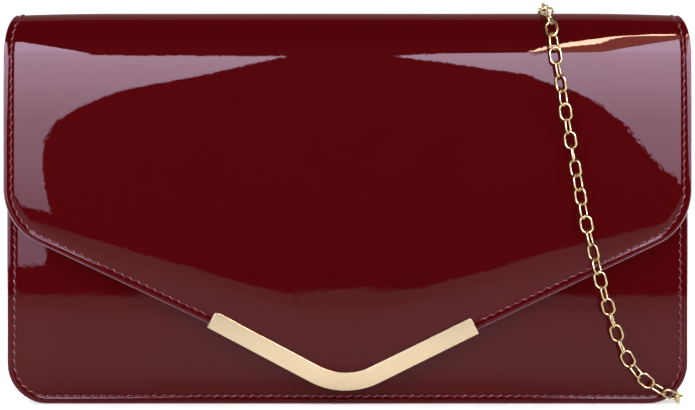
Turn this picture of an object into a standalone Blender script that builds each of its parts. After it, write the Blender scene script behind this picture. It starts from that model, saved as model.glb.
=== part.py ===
"""A patent clutch purse: a boxy envelope body, a rolled top fold, a pointed flap with a gold V trim,
a chain strap and an inner zip pocket. Metres, +Z up, the front faces -Y."""

import math

import bmesh
import bpy
from mathutils import Vector

MM = 0.001
GAP = 0.3  # clear space between touching pieces, in millimetres like every length below

# The outer skin: back, rolled fold and flap, seen from the side.
FOLD_Y, FOLD_Z = 0.6, 138.1  # centre of the rolled fold
FOLD_R = 15.9  # radius of the fold's outer face
SKIN = 0.9
BACK_HALF, FLAP_HALF = 133.2, 135.2  # half widths
FOLD_WAIST = 5.5  # how much the fold is drawn in at its middle
HINGE_R = FOLD_R * math.pi / 3  # the hinge lines lie here, so the unrolled fold keeps its length
HINGE_ANGLES = (30.0, 90.0, 150.0)
MITRE = 0.6  # degrees left open on each side of a hinge plane

# The body.
FRONT_Y = -9.4  # outer face of the front panel
MOUTH_Z = 132.0
CORNER_R = 16.0
BOARD = 0.8
LINING = 0.45

# The flap's outline, as corners with the radius that rounds each.
FLAP_Y = FOLD_Y - FOLD_R
FLAP_CORNERS = (
    ((-135.2, 138.1), 0.0),
    ((-135.2, 70.0), 23.5),
    ((-54.5, 31.8), 70.0),
    ((-1.2, 3.0), 36.0),
    ((51.0, 29.4), 70.0),
    ((135.2, 69.3), 23.5),
    ((135.2, 138.1), 0.0),
)
TRIM_LEFT_X, TRIM_RIGHT_X = -54.5, 51.0


def clear_scene():
    for obj in list(bpy.data.objects):
        bpy.data.objects.remove(obj, do_unlink=True)


clear_scene()
purse = bpy.data.collections.new("clutch_purse")
cutters = bpy.data.collections.new("cutters")
cutters.hide_render = True
bpy.context.scene.collection.children.link(purse)
bpy.context.scene.collection.children.link(cutters)


def material(name, colour, metallic, roughness):
    made = bpy.data.materials.new(name)
    made.use_nodes = True
    shader = made.node_tree.nodes["Principled BSDF"]
    shader.inputs["Base Color"].default_value = (*colour, 1)
    shader.inputs["Metallic"].default_value = metallic
    shader.inputs["Roughness"].default_value = roughness
    made.diffuse_color = (*colour, 1)
    return made


LOOKS = {
    "patent": ((0.11, 0.004, 0.01), 0.0, 0.08),
    "gold": ((0.83, 0.69, 0.42), 1.0, 0.22),
    "chain": ((0.80, 0.66, 0.38), 1.0, 0.25),
    "lining": ((0.10, 0.02, 0.03), 0.0, 0.85),
    "board": ((0.55, 0.45, 0.33), 0.0, 0.9),
    "tape": ((0.07, 0.015, 0.02), 0.0, 0.8),
    "magnet": ((0.2, 0.2, 0.22), 0.8, 0.4),
}


def place(obj, look, collection=None):
    """Gives an object a material of its own and puts it in its collection."""
    if look:
        obj.data.materials.append(material(f"{obj.name}_{look}", *LOOKS[look]))
    (collection or purse).objects.link(obj)
    if collection is cutters:
        obj.hide_render = True
        obj.display_type = "WIRE"
    return obj


def mesh_piece(name, points, faces, look, origin=(0, 0, 0), collection=None, smooth=False):
    """A mesh from points in millimetres, with its origin where asked."""
    start = Vector(origin)
    mesh = bpy.data.meshes.new(name)
    mesh.from_pydata([(Vector(p) - start) * MM for p in points], [], faces)
    built = bmesh.new()
    built.from_mesh(mesh)
    bmesh.ops.recalc_face_normals(built, faces=built.faces)
    built.to_mesh(mesh)
    built.free()
    for polygon in mesh.polygons:
        polygon.use_smooth = smooth
    obj = bpy.data.objects.new(name, mesh)
    obj.location = start * MM
    return place(obj, look, collection)


def loft(name, rings, look, origin=(0, 0, 0), collection=None, smooth=False):
    """A solid through rings of points, closed by flat ends."""
    count = len(rings[0])
    points = [p for ring in rings for p in ring]
    faces = []
    for low in range(len(rings) - 1):
        for k in range(count):
            after = (k + 1) % count
            a, b = low * count, (low + 1) * count
            faces.append((a + k, a + after, b + after, b + k))
    faces.append(tuple(range(count)))
    faces.append(tuple(range(len(points) - count, len(points))))
    return mesh_piece(name, points, faces, look, origin, collection, smooth)


def box(name, low, high, look, origin=None, collection=None):
    x0, y0, z0 = low
    x1, y1, z1 = high
    rings = [[(x0, y0, z), (x1, y0, z), (x1, y1, z), (x0, y1, z)] for z in (z0, z1)]
    return loft(name, rings, look, origin or (0, 0, 0), collection)


def turned(name, profile, centre, look, origin=None, collection=None, steps=28):
    """A solid turned about the Y axis through centre. The profile holds (radius, y) points, and its
    closed outline runs from the most forward point down its outer side to the back."""
    mesh = bpy.data.meshes.new(name)
    start = Vector(origin or centre)
    shift = Vector(centre) - start
    rings = []
    for k in range(steps):
        turn = 2 * math.pi * k / steps
        rings.append(
            [(shift.x + r * math.cos(turn), shift.y + y, shift.z + r * math.sin(turn)) for r, y in profile]
        )
    built = bmesh.new()
    spun = [[built.verts.new(Vector(p) * MM) for p in ring] for ring in rings]
    count = len(profile)
    for k, ring in enumerate(spun):
        following = spun[(k + 1) % steps]
        for j in range(count):
            nxt = (j + 1) % count
            built.faces.new((ring[j], ring[nxt], following[nxt], following[j]))
    bmesh.ops.remove_doubles(built, verts=built.verts, dist=1e-6)
    bmesh.ops.dissolve_degenerate(built, edges=built.edges, dist=1e-6)
    bmesh.ops.recalc_face_normals(built, faces=built.faces)
    built.to_mesh(mesh)
    built.free()
    for polygon in mesh.polygons:
        polygon.use_smooth = True
    obj = bpy.data.objects.new(name, mesh)
    obj.location = start * MM
    return place(obj, look, collection)


def rod_cutter(name, radius, centre, y0, y1):
    """A round cutter along Y."""
    x, _, z = centre
    profile = [(0, y0), (radius, y0), (radius, y1), (0, y1)]
    return turned(name, profile, (x, 0, z), None, collection=cutters, steps=20)


def boolean(obj, other, operation="DIFFERENCE"):
    step = obj.modifiers.new(other.name, "BOOLEAN")
    step.operation = operation
    step.solver = "EXACT"
    step.object = other


def rounded(corners, steps=8):
    """The outline through corners, each rounded by its radius."""
    outline = []
    for k, (corner, radius) in enumerate(corners):
        here = Vector(corner)
        if radius == 0:
            outline.append(here)
            continue
        before = (Vector(corners[k - 1][0]) - here).normalized()
        after = (Vector(corners[k + 1][0]) - here).normalized()
        half = before.angle(after) / 2
        middle = here + (before + after).normalized() * radius / math.sin(half)
        first = here + before * radius / math.tan(half) - middle
        last = here + after * radius / math.tan(half) - middle
        turn = first.angle_signed(last)
        count = max(3, round(steps * abs(turn)))
        for j in range(count + 1):
            angle = -turn * j / count
            cos, sin = math.cos(angle), math.sin(angle)
            outline.append(middle + Vector((first.x * cos - first.y * sin, first.x * sin + first.y * cos)))
    return outline


def between(value, points):
    """Reads x at this z on a line of (x, z) points that climbs."""
    for (x0, z0), (x1, z1) in zip(points, points[1:]):
        if z0 <= value <= z1:
            return x0 + (x1 - x0) * (value - z0) / max(z1 - z0, 1e-9)
    return points[-1][0] if value > points[-1][1] else points[0][0]


FLAP_OUTLINE = rounded(FLAP_CORNERS)


def flap_rows(inset=0.0, z_top=FOLD_Z, shorter=0.0):
    """(z, left x, right x) rows of the flap's outline, from its point up."""
    lowest = min(range(len(FLAP_OUTLINE)), key=lambda k: FLAP_OUTLINE[k].y)
    middle = FLAP_OUTLINE[lowest]
    left = [(p.x, p.y) for p in reversed(FLAP_OUTLINE[: lowest + 1])]
    right = [(p.x, p.y) for p in FLAP_OUTLINE[lowest:]]
    rows = []
    for k in range(1, len(left)):
        z = left[k][1]
        if z > z_top - 0.5:
            break
        rows.append((z, left[k][0], between(z, right)))
    rows.append((z_top, left[-1][0], right[-1][0]))
    if not inset:
        return rows
    moved = []
    for z, x0, x1 in rows:
        lift = (z_top - z) / (z_top - middle.y)
        moved.append((z + (inset + shorter) * lift, x0 + inset, x1 - inset))
    return [row for row in moved if row[2] - row[1] > 2]


def panel_rows(half, z_low, z_top, r_low, r_top, steps=6):
    """Rows of a panel that is square at its sides and rounded at its corners."""
    rows = []
    for k in range(steps + 1):
        turn = math.radians(90 * k / steps)
        rows.append((z_low + r_low * (1 - math.cos(turn)), half - r_low + r_low * math.sin(turn)))
    if r_top:
        for k in range(steps + 1):
            turn = math.radians(90 * k / steps)
            rows.append((z_top - r_top + r_top * math.sin(turn), half - r_top + r_top * math.cos(turn)))
    else:
        rows.append((z_top, half))
    return [(z, -x, x) for z, x in rows]


def flat_rings(rows, y_front, y_back):
    return [[(x0, y_front, z), (x1, y_front, z), (x1, y_back, z), (x0, y_back, z)] for z, x0, x1 in rows]


def fold_half(angle):
    """Half width of the rolled sheet at this angle, 0 at the back and 180 at the front."""
    share = angle / 180
    waist = FOLD_WAIST * math.sin(math.radians(angle)) ** 2
    return BACK_HALF + (FLAP_HALF - BACK_HALF) * share - waist


def fold_rings(first, last, outer, inner, inset=0.0, step=7.5):
    """Rings of a rolled sheet between two radii."""
    count = max(2, round((last - first) / step))
    rings = []
    for k in range(count + 1):
        angle = first + (last - first) * k / count
        half = fold_half(angle) - inset
        y, z = math.cos(math.radians(angle)), math.sin(math.radians(angle))
        out = (FOLD_Y + outer * y, FOLD_Z + outer * z)
        ins = (FOLD_Y + inner * y, FOLD_Z + inner * z)
        rings.append([(-half, *out), (half, *out), (half, *ins), (-half, *ins)])
    return rings


def hinge_line(index):
    angle = math.radians(HINGE_ANGLES[index])
    return (0.0, FOLD_Y + HINGE_R * math.cos(angle), FOLD_Z + HINGE_R * math.sin(angle))


# ---------------------------------------------------------------- the outer skin
SKIN_IN = FOLD_R - SKIN
LINING_OUT = SKIN_IN - GAP
LINING_IN = LINING_OUT - LINING
BACK_Y = FOLD_Y + FOLD_R
FIRST, MIDDLE, LAST = HINGE_ANGLES

back_rows = panel_rows(BACK_HALF, 0, FOLD_Z, CORNER_R, 0)
back_rings = flat_rings(back_rows, BACK_Y - SKIN, BACK_Y)
back_fold = [[ring[3], ring[2], ring[1], ring[0]] for ring in fold_rings(0, FIRST - MITRE, FOLD_R, SKIN_IN)]
loft("back_panel", back_rings[:-1] + back_fold, "patent")
loft("fold_skin_back", fold_rings(FIRST + MITRE, MIDDLE - MITRE, FOLD_R, SKIN_IN), "patent", hinge_line(0))
loft("fold_skin_front", fold_rings(MIDDLE + MITRE, LAST - MITRE, FOLD_R, SKIN_IN), "patent", hinge_line(1))
flap_face = flat_rings(flap_rows(), FLAP_Y, FLAP_Y + SKIN)
flap_fold = fold_rings(LAST + MITRE, 180, FOLD_R, SKIN_IN)[:-1]
loft("flap_skin", flap_face + flap_fold[::-1], "patent", hinge_line(2))

# ---------------------------------------------------------------- fold lining
FOLD_INSET = 1.0
loft(
    "fold_lining_back",
    fold_rings(FIRST + MITRE, MIDDLE - MITRE, LINING_OUT, LINING_IN, FOLD_INSET),
    "lining",
    hinge_line(0),
)
loft(
    "fold_lining_front",
    fold_rings(MIDDLE + MITRE, LAST - MITRE, LINING_OUT, LINING_IN, FOLD_INSET),
    "lining",
    hinge_line(1),
)
FACING_LOW = 129.0
facing_half = BACK_HALF - 7.0
facing_y = FOLD_Y + LINING_OUT
facing_rings = flat_rings([(FACING_LOW, -facing_half, facing_half)], facing_y - LINING, facing_y)
facing_fold = [
    [ring[3], ring[2], ring[1], ring[0]]
    for ring in fold_rings(6, FIRST - MITRE, LINING_OUT, LINING_IN, FOLD_INSET)
]
loft("back_facing", facing_rings + facing_fold, "lining")

# ---------------------------------------------------------------- flap board and lining
FLAP_BOARD_Y = FLAP_Y + SKIN + GAP
FLAP_LINING_Y = FLAP_BOARD_Y + BOARD + GAP
FLAP_BOARD_TOP = 132.0
board_rows = flap_rows(6.5, FLAP_BOARD_TOP, 1.5)
loft(
    "flap_board",
    flat_rings(board_rows, FLAP_BOARD_Y, FLAP_BOARD_Y + BOARD),
    "board",
    hinge_line(2),
)
lining_rows = flap_rows(0.5, FLAP_BOARD_TOP, 0.3)
lining_rings = flat_rings(lining_rows, FLAP_LINING_Y, FLAP_LINING_Y + LINING)
step_rows = [(134.5, 0.55), (137.0, 1.0)]
lining_half = FLAP_HALF - FOLD_INSET
for z, share in step_rows:
    y = FLAP_LINING_Y + (FOLD_Y - LINING_OUT - FLAP_LINING_Y) * share
    lining_rings.append(
        [(-lining_half, y, z), (lining_half, y, z), (lining_half, y + LINING, z), (-lining_half, y + LINING, z)]
    )
lining_fold = fold_rings(LAST + MITRE, 176, LINING_OUT, LINING_IN, FOLD_INSET)
loft("flap_lining", lining_rings + lining_fold[::-1], "lining", hinge_line(2))

# ---------------------------------------------------------------- front panel, board and lining
FRONT_HINGE = (0.0, FRONT_Y, 0.0)
FRONT_BOARD_Y = FRONT_Y + SKIN + GAP
FRONT_LINING_Y = FRONT_BOARD_Y + BOARD + GAP
BOARD_HALF = 127.0
BOARD_LOW = 7.0
loft(
    "front_panel",
    flat_rings(panel_rows(BACK_HALF, 0, MOUTH_Z, CORNER_R, 8.0), FRONT_Y, FRONT_Y + SKIN),
    "patent",
    FRONT_HINGE,
)
loft(
    "front_board",
    flat_rings(panel_rows(BOARD_HALF, BOARD_LOW, MOUTH_Z - 4, 9.0, 6.0), FRONT_BOARD_Y, FRONT_BOARD_Y + BOARD),
    "board",
    FRONT_HINGE,
)
loft(
    "front_lining",
    flat_rings(
        panel_rows(BOARD_HALF, BOARD_LOW, MOUTH_Z - 1.0, 9.0, 6.0), FRONT_LINING_Y, FRONT_LINING_Y + LINING
    ),
    "lining",
    FRONT_HINGE,
)

# ---------------------------------------------------------------- back board and lining
BACK_BOARD_Y = BACK_Y - SKIN - GAP
BACK_LINING_Y = 11.6
LINING_TOP = 127.5
loft(
    "back_board",
    flat_rings(panel_rows(BOARD_HALF, BOARD_LOW, LINING_TOP, 9.0, 0), BACK_BOARD_Y - BOARD, BACK_BOARD_Y),
    "board",
)
back_lining = loft(
    "back_lining",
    flat_rings(panel_rows(BOARD_HALF - 1.2, BOARD_LOW, LINING_TOP, 9.0, 0), BACK_LINING_Y - LINING, BACK_LINING_Y),
    "lining",
)

# ---------------------------------------------------------------- the base
BASE_HALF = 116.9
TRAY_TOP = 4.6
TRAY_Y0, TRAY_Y1 = FRONT_Y + SKIN + GAP, BACK_Y - SKIN - GAP


def tray(name, low, high, wall, look):
    """An open-topped box with walls and a floor of one thickness."""
    (x0, y0, z0), (x1, y1, z1) = low, high
    outside = [(x0, y0), (x1, y0), (x1, y1), (x0, y1)]
    inside = [(x0 + wall, y0 + wall), (x1 - wall, y0 + wall), (x1 - wall, y1 - wall), (x0 + wall, y1 - wall)]
    points = [(x, y, z0) for x, y in outside] + [(x, y, z1) for x, y in outside]
    points += [(x, y, z1) for x, y in inside] + [(x, y, z0 + wall) for x, y in inside]
    faces = [(3, 2, 1, 0), (12, 13, 14, 15)]
    for ring in (0, 4, 8):
        for k in range(4):
            after = (k + 1) % 4
            faces.append((ring + k, ring + after, ring + 4 + after, ring + 4 + k))
    return mesh_piece(name, points, faces, look)


tray("gusset_base", (-BASE_HALF, TRAY_Y0, 0), (BASE_HALF, TRAY_Y1, TRAY_TOP), SKIN, "patent")
BASE_BOARD_HALF = BASE_HALF - SKIN - GAP
BASE_Y0, BASE_Y1 = TRAY_Y0 + SKIN + GAP, TRAY_Y1 - SKIN - GAP
box(
    "base_board",
    (-BASE_BOARD_HALF, BASE_Y0, SKIN + GAP),
    (BASE_BOARD_HALF, BASE_Y1, SKIN + GAP + BOARD),
    "board",
)
BASE_LINING_Z = SKIN + 2 * GAP + BOARD
box(
    "base_lining",
    (-BASE_BOARD_HALF, BASE_Y0, BASE_LINING_Z),
    (BASE_BOARD_HALF, BASE_Y1, BASE_LINING_Z + LINING),
    "lining",
)

# ---------------------------------------------------------------- side gussets
GUSSET_TOP = 127.0
GUSSET = 0.8
CREASE = 7.0
CREASE_LOW, CREASE_HIGH = 12.0, 108.0  # the crease grows between these heights


def offset_line(points, distance):
    """A line of (u, y) points moved sideways, with mitred corners."""
    moved = []
    for k, here in enumerate(points):
        sides = []
        if k:
            sides.append((Vector(here) - Vector(points[k - 1])).normalized())
        if k < len(points) - 1:
            sides.append((Vector(points[k + 1]) - Vector(here)).normalized())
        normals = [Vector((-s.y, s.x)) for s in sides]
        mean = sum(normals, Vector((0, 0))).normalized()
        moved.append(Vector(here) + mean * distance / max(0.4, mean.dot(normals[0])))
    return moved


def side_path(z_top, x_end, steps=5):
    """Stations down a side and round its bottom corner: (x, z, inward x, inward z), for the right side."""
    heights = [z_top, CREASE_HIGH, 100, 92, 84, 76, 68, 60, 52, 44, 36, 28, 22, CORNER_R]
    stations = [(BACK_HALF, z, -1.0, 0.0) for z in heights if z <= z_top]
    centre = BACK_HALF - CORNER_R
    last = math.degrees(math.acos((x_end - centre) / CORNER_R)) if x_end > centre else 90
    for k in range(1, steps + 1):
        turn = math.radians(last * k / steps)
        cos, sin = math.cos(turn), math.sin(turn)
        stations.append((centre + CORNER_R * cos, CORNER_R - CORNER_R * sin, -cos, sin))
    return stations


def crease_share(z):
    t = min(1.0, max(0.0, (z - CREASE_LOW) / (CREASE_HIGH - CREASE_LOW)))
    return t * t * (3 - 2 * t)


def gusset(name, side, line_of, thickness, z_top, x_end, look):
    """A folded strip down one side. line_of gives the section's middle line for a crease share."""
    rings = []
    for x, z, nx, nz in side_path(z_top, x_end):
        line = line_of(crease_share(z))
        ring = offset_line(line, thickness / 2) + offset_line(line, -thickness / 2)[::-1]
        rings.append([(side * (x + u * nx), y, z + u * nz) for u, y in ring])
    return loft(name, rings, look)


WEB_IN = 4.0
WEB_FRONT, WEB_BACK = TRAY_Y0 + GUSSET / 2, TRAY_Y1 - GUSSET / 2
WEB_MID = (WEB_FRONT + WEB_BACK) / 2


def web_line(share):
    return [
        (0.6, WEB_FRONT),
        (WEB_IN, WEB_FRONT),
        (WEB_IN + CREASE * share, WEB_MID),
        (WEB_IN, WEB_BACK),
        (0.6, WEB_BACK),
    ]


LINING_IN_U = WEB_IN + 1.15
LINING_FRONT, LINING_BACK = FRONT_LINING_Y + LINING + 0.5, BACK_LINING_Y - LINING - 0.5


def gusset_lining_line(share):
    """Runs beside the web, from the front lining to the back lining."""
    reach = WEB_BACK - WEB_MID
    depth = CREASE * share
    front = LINING_IN_U + depth * (1 - (WEB_MID - LINING_FRONT) / reach)
    back = LINING_IN_U + depth * (1 - (LINING_BACK - WEB_MID) / reach)
    return [(front, LINING_FRONT), (LINING_IN_U + depth, WEB_MID), (back, LINING_BACK)]


for side, word in ((-1, "left"), (1, "right")):
    gusset(f"gusset_{word}", side, web_line, GUSSET, GUSSET_TOP, BASE_HALF + 0.8, "patent")
    gusset(f"gusset_lining_{word}", side, gusset_lining_line, 0.4, GUSSET_TOP - 1, BASE_HALF + 0.8, "lining")

# ---------------------------------------------------------------- tabs and D-rings
RING_X, RING_Z = 127.8, 113.5
RING_Y = WEB_MID
RING_WIRE = 0.8
RING_HALF = 6.3
TAB_HALF_Y = 4.4
TAB_TOP = 126.5


def tab(name, side):
    """A leather loop: a strap at the top, and an eye round the D-ring's bar at the bottom."""
    eye_out, eye_in = 2.0, 1.15
    outline = []
    for k in range(13):
        turn = math.radians(150 + 240 * k / 12)
        outline.append((RING_X + eye_out * math.cos(turn), RING_Z + eye_out * math.sin(turn)))
    strap_out, strap_in = RING_X + 1.2, RING_X - 1.2
    outline += [(strap_out, RING_Z + 3.0), (strap_out, TAB_TOP), (strap_in, TAB_TOP), (strap_in, RING_Z + 3.0)]
    rings = [[(side * x, RING_Y + y, z) for x, z in outline] for y in (-TAB_HALF_Y, TAB_HALF_Y)]
    made = loft(name, rings, "patent")
    hole = [
        [
            (
                side * RING_X + eye_in * math.cos(2 * math.pi * k / 14),
                RING_Y + y,
                RING_Z + eye_in * math.sin(2 * math.pi * k / 14),
            )
            for k in range(14)
        ]
        for y in (-TAB_HALF_Y - 1, TAB_HALF_Y + 1)
    ]
    boolean(made, loft(f"{name}_hole", hole, None, collection=cutters))
    return made


def poly_tube(name, points, radius, look, origin=(0, 0, 0), cyclic=False):
    """A round wire or cord through points in millimetres."""
    curve = bpy.data.curves.new(name, "CURVE")
    curve.dimensions = "3D"
    curve.bevel_depth = radius * MM
    curve.bevel_resolution = 2
    curve.use_fill_caps = not cyclic
    spline = curve.splines.new("POLY")
    spline.points.add(len(points) - 1)
    for knot, point in zip(spline.points, points):
        knot.co = (*((Vector(point) - Vector(origin)) * MM), 1)
    spline.use_cyclic_u = cyclic
    spline.use_smooth = True
    obj = bpy.data.objects.new(name, curve)
    obj.location = Vector(origin) * MM
    return place(obj, look)


def d_ring(name, side):
    points = [(RING_Y - RING_HALF + 1.0, RING_Z), (RING_Y + RING_HALF - 1.0, RING_Z)]
    for k in range(13):
        turn = math.radians(8 - 196 * k / 12)
        points.append((RING_Y + RING_HALF * math.cos(turn), RING_Z - 1.2 + RING_HALF * math.sin(turn)))
    wire = [(side * RING_X, y, z) for y, z in points]
    return poly_tube(name, wire, RING_WIRE, "gold", (side * RING_X, RING_Y, RING_Z), cyclic=True)


for side, word in ((-1, "left"), (1, "right")):
    tab(f"tab_{word}", side)
    d_ring(f"d_ring_{word}", side)

# ---------------------------------------------------------------- V trim
TRIM_WALL = 0.9
TRIM_LIP = 0.6
TRIM_OUT = 1.2  # how far the channel's wall stands beyond the flap's edge
TRIM_IN = 5.9  # how far its face reaches in from the edge
LIP_IN = 4.2
TRIM_FACE_Y = FLAP_Y - GAP - TRIM_WALL
LIP_Y = FLAP_LINING_Y + LINING + GAP


def trim_section():
    """The channel's section as (inward, y) points."""
    inner = -0.3
    return [
        (-TRIM_OUT, TRIM_FACE_Y + 0.25),
        (-TRIM_OUT + 0.25, TRIM_FACE_Y),
        (TRIM_IN - 0.25, TRIM_FACE_Y),
        (TRIM_IN, TRIM_FACE_Y + 0.25),
        (TRIM_IN, TRIM_FACE_Y + TRIM_WALL),
        (inner, TRIM_FACE_Y + TRIM_WALL),
        (inner, LIP_Y),
        (LIP_IN, LIP_Y),
        (LIP_IN, LIP_Y + TRIM_LIP),
        (-TRIM_OUT, LIP_Y + TRIM_LIP),
    ]


def trim_path():
    """Points of the flap's edge under the trim with their inward directions."""
    inside = [p for p in FLAP_OUTLINE if TRIM_LEFT_X < p.x < TRIM_RIGHT_X]
    left = Vector((TRIM_LEFT_X, 31.6))
    right = Vector((TRIM_RIGHT_X, 29.2))
    line = [left] + [p for p in inside if left.x + 4 < p.x < right.x - 4] + [right]
    stations = []
    for k, here in enumerate(line):
        before, after = line[max(k - 1, 0)], line[min(k + 1, len(line) - 1)]
        along = (after - before).normalized()
        stations.append((here, Vector((-along.y, along.x))))
    return stations


TRIM_STATIONS = trim_path()
trim_rings = []
for here, inward in TRIM_STATIONS:
    ring = [(here.x + u * inward.x, y, here.y + u * inward.y) for u, y in trim_section()]
    trim_rings.append(ring)
trim = loft("vee_trim", trim_rings, "gold", hinge_line(2))

SCREW_STATIONS = (-36.0, -1.2, 33.6)
SCREW_IN = 2.3
SCREW_R, SCREW_HOLE = 0.6, 0.9


def edge_at(x):
    stations = [(p.x, p, n) for p, n in TRIM_STATIONS]
    for (x0, p0, n0), (x1, p1, n1) in zip(stations, stations[1:]):
        if x0 <= x <= x1:
            share = (x - x0) / (x1 - x0)
            return p0.lerp(p1, share) + n0.lerp(n1, share).normalized() * SCREW_IN
    raise ValueError(x)


flap_lining = bpy.data.objects["flap_lining"]
for number, x in enumerate(SCREW_STATIONS, 1):
    spot = edge_at(x)
    centre = (spot.x, 0.0, spot.y)
    head_y = LIP_Y + TRIM_LIP + GAP
    tip_y = FLAP_Y + SKIN + GAP
    profile = [
        (0, tip_y),
        (SCREW_R, tip_y),
        (SCREW_R, head_y),
        (1.5, head_y),
        (1.3, head_y + 0.5),
        (0, head_y + 0.5),
    ]
    turned(f"trim_screw_{number}", profile, centre, "gold", hinge_line(2), steps=16)
    hole = rod_cutter(f"screw_hole_{number}", SCREW_HOLE, centre, FLAP_Y + SKIN + 0.1, head_y + 0.2)
    boolean(trim, hole)
    boolean(flap_lining, hole)

# ---------------------------------------------------------------- magnetic snap
SNAP = (-1.2, 0.0, 40.0)
POST_R, POST_HOLE = 1.4, 1.75
CAP_R = 7.0
CAP_Y0 = FRONT_Y - GAP - 1.6
WASHER = 0.45
socket_profile = [
    (2.4, CAP_Y0),
    (6.6, CAP_Y0),
    (CAP_R, CAP_Y0 + 0.4),
    (CAP_R, FRONT_Y - GAP),
    (6.5, FRONT_Y - GAP),
    (6.5, CAP_Y0 + 0.6),
    (3.0, CAP_Y0 + 0.6),
    (3.0, FRONT_Y - GAP),
    (POST_R, FRONT_Y - GAP),
    (POST_R, FRONT_BOARD_Y + WASHER + 0.5),
    (0.0, FRONT_BOARD_Y + WASHER + 0.5),
    (0.0, CAP_Y0 + 1.2),
    (2.4, CAP_Y0 + 1.2),
]
turned("snap_socket", socket_profile, SNAP, "gold", FRONT_HINGE)
magnet_profile = [
    (3.3, CAP_Y0 + 0.9),
    (6.2, CAP_Y0 + 0.9),
    (6.2, FRONT_Y - GAP - 0.05),
    (3.3, FRONT_Y - GAP - 0.05),
]
turned("snap_magnet", magnet_profile, SNAP, "magnet", FRONT_HINGE)
washer_profile = [
    (POST_HOLE, FRONT_BOARD_Y),
    (5.5, FRONT_BOARD_Y),
    (5.5, FRONT_BOARD_Y + WASHER),
    (POST_HOLE, FRONT_BOARD_Y + WASHER),
]
turned("snap_socket_washer", washer_profile, SNAP, "gold", FRONT_HINGE)
boolean(bpy.data.objects["front_panel"], rod_cutter("front_post_hole", POST_HOLE, SNAP, FRONT_Y - 1, FRONT_Y + 1.2))
boolean(
    bpy.data.objects["front_board"],
    rod_cutter("front_washer_hole", 6.0, SNAP, FRONT_BOARD_Y - 0.2, FRONT_BOARD_Y + BOARD + 0.2),
)
STUD_Y = FLAP_LINING_Y + LINING + GAP
stud_profile = [
    (0.0, FLAP_BOARD_Y + 0.15),
    (POST_R, FLAP_BOARD_Y + 0.15),
    (POST_R, STUD_Y),
    (CAP_R, STUD_Y),
    (6.8, STUD_Y + 0.6),
    (2.0, STUD_Y + 0.6),
    (1.9, CAP_Y0 + 0.9),
    (0.0, CAP_Y0 + 0.9),
]
turned("snap_stud", stud_profile, SNAP, "gold", hinge_line(2))
stud_washer = [
    (POST_HOLE, FLAP_BOARD_Y + 0.15),
    (5.5, FLAP_BOARD_Y + 0.15),
    (5.5, FLAP_BOARD_Y + 0.15 + WASHER),
    (POST_HOLE, FLAP_BOARD_Y + 0.15 + WASHER),
]
turned("snap_stud_washer", stud_washer, SNAP, "gold", hinge_line(2))
boolean(
    bpy.data.objects["flap_board"],
    rod_cutter("flap_washer_hole", 6.0, SNAP, FLAP_BOARD_Y - 0.2, FLAP_BOARD_Y + BOARD + 0.2),
)
boolean(flap_lining, rod_cutter("flap_post_hole", POST_HOLE, SNAP, FLAP_LINING_Y - 0.2, FLAP_LINING_Y + 0.7))

# ---------------------------------------------------------------- zip pocket in the back lining
ZIP_Z = 100.0
ZIP_HALF = 77.5
COIL_R = 0.65
COIL_Y = 11.0
WINDOW_HALF, WINDOW_SIDE = 81.0, 4.5
TAPE_Y = 12.0
window = box(
    "pocket_window",
    (-WINDOW_HALF, BACK_LINING_Y - 2, ZIP_Z - WINDOW_SIDE),
    (WINDOW_HALF, BACK_LINING_Y + 1, ZIP_Z + WINDOW_SIDE),
    None,
    collection=cutters,
)
boolean(back_lining, window)
box("zip_tape_upper", (-84, TAPE_Y, ZIP_Z + 0.9), (84, TAPE_Y + 0.3, ZIP_Z + 12), "tape")
box("zip_tape_lower", (-84, TAPE_Y, ZIP_Z - 12), (84, TAPE_Y + 0.3, ZIP_Z - 0.9), "tape")
for word, sign in (("upper", 1), ("lower", -1)):
    centre = (0, COIL_Y, ZIP_Z + sign * 1.3)
    points = [(x, centre[1], centre[2]) for x in (-ZIP_HALF, 0, ZIP_HALF)]
    poly_tube(f"zip_coil_{word}", points, COIL_R, "tape")
for word, sign in (("left", -1), ("right", 1)):
    ends = sorted((sign * (ZIP_HALF + 0.5), sign * (ZIP_HALF + 2.0)))
    box(f"zip_stop_{word}", (ends[0], 10.2, ZIP_Z - 2.2), (ends[1], 11.6, ZIP_Z + 2.2), "gold")

SLIDER = (-71.0, 0.0, ZIP_Z)
PLATE_Y = 9.1
slider = box(
    "zip_slider", (-76, PLATE_Y, ZIP_Z - 3.4), (-66, PLATE_Y + 0.8, ZIP_Z + 3.4), "gold", SLIDER
)
slider_pieces = (
    ((-75.6, PLATE_Y + 0.4, ZIP_Z - 0.4), (-72.6, 12.9, ZIP_Z + 0.4)),
    ((-76, 12.6, ZIP_Z - 3.4), (-66, 13.1, ZIP_Z + 3.4)),
    ((-72.4, 6.2, ZIP_Z + 2.2), (-69.6, PLATE_Y + 0.4, ZIP_Z + 3.2)),
    ((-72.4, 6.2, ZIP_Z - 3.2), (-69.6, PLATE_Y + 0.4, ZIP_Z - 2.2)),
)
for number, (low, high) in enumerate(slider_pieces, 1):
    boolean(slider, box(f"slider_piece_{number}", low, high, None, collection=cutters), "UNION")
PIN = (-71.0, 7.0)
PIN_R = 0.5
pin_ring = [
    [
        (PIN[0] + PIN_R * math.cos(2 * math.pi * k / 12), PIN[1] + PIN_R * math.sin(2 * math.pi * k / 12), z)
        for k in range(12)
    ]
    for z in (ZIP_Z - 2.6, ZIP_Z + 2.6)
]
boolean(slider, loft("slider_pin", pin_ring, None, collection=cutters), "UNION")

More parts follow.
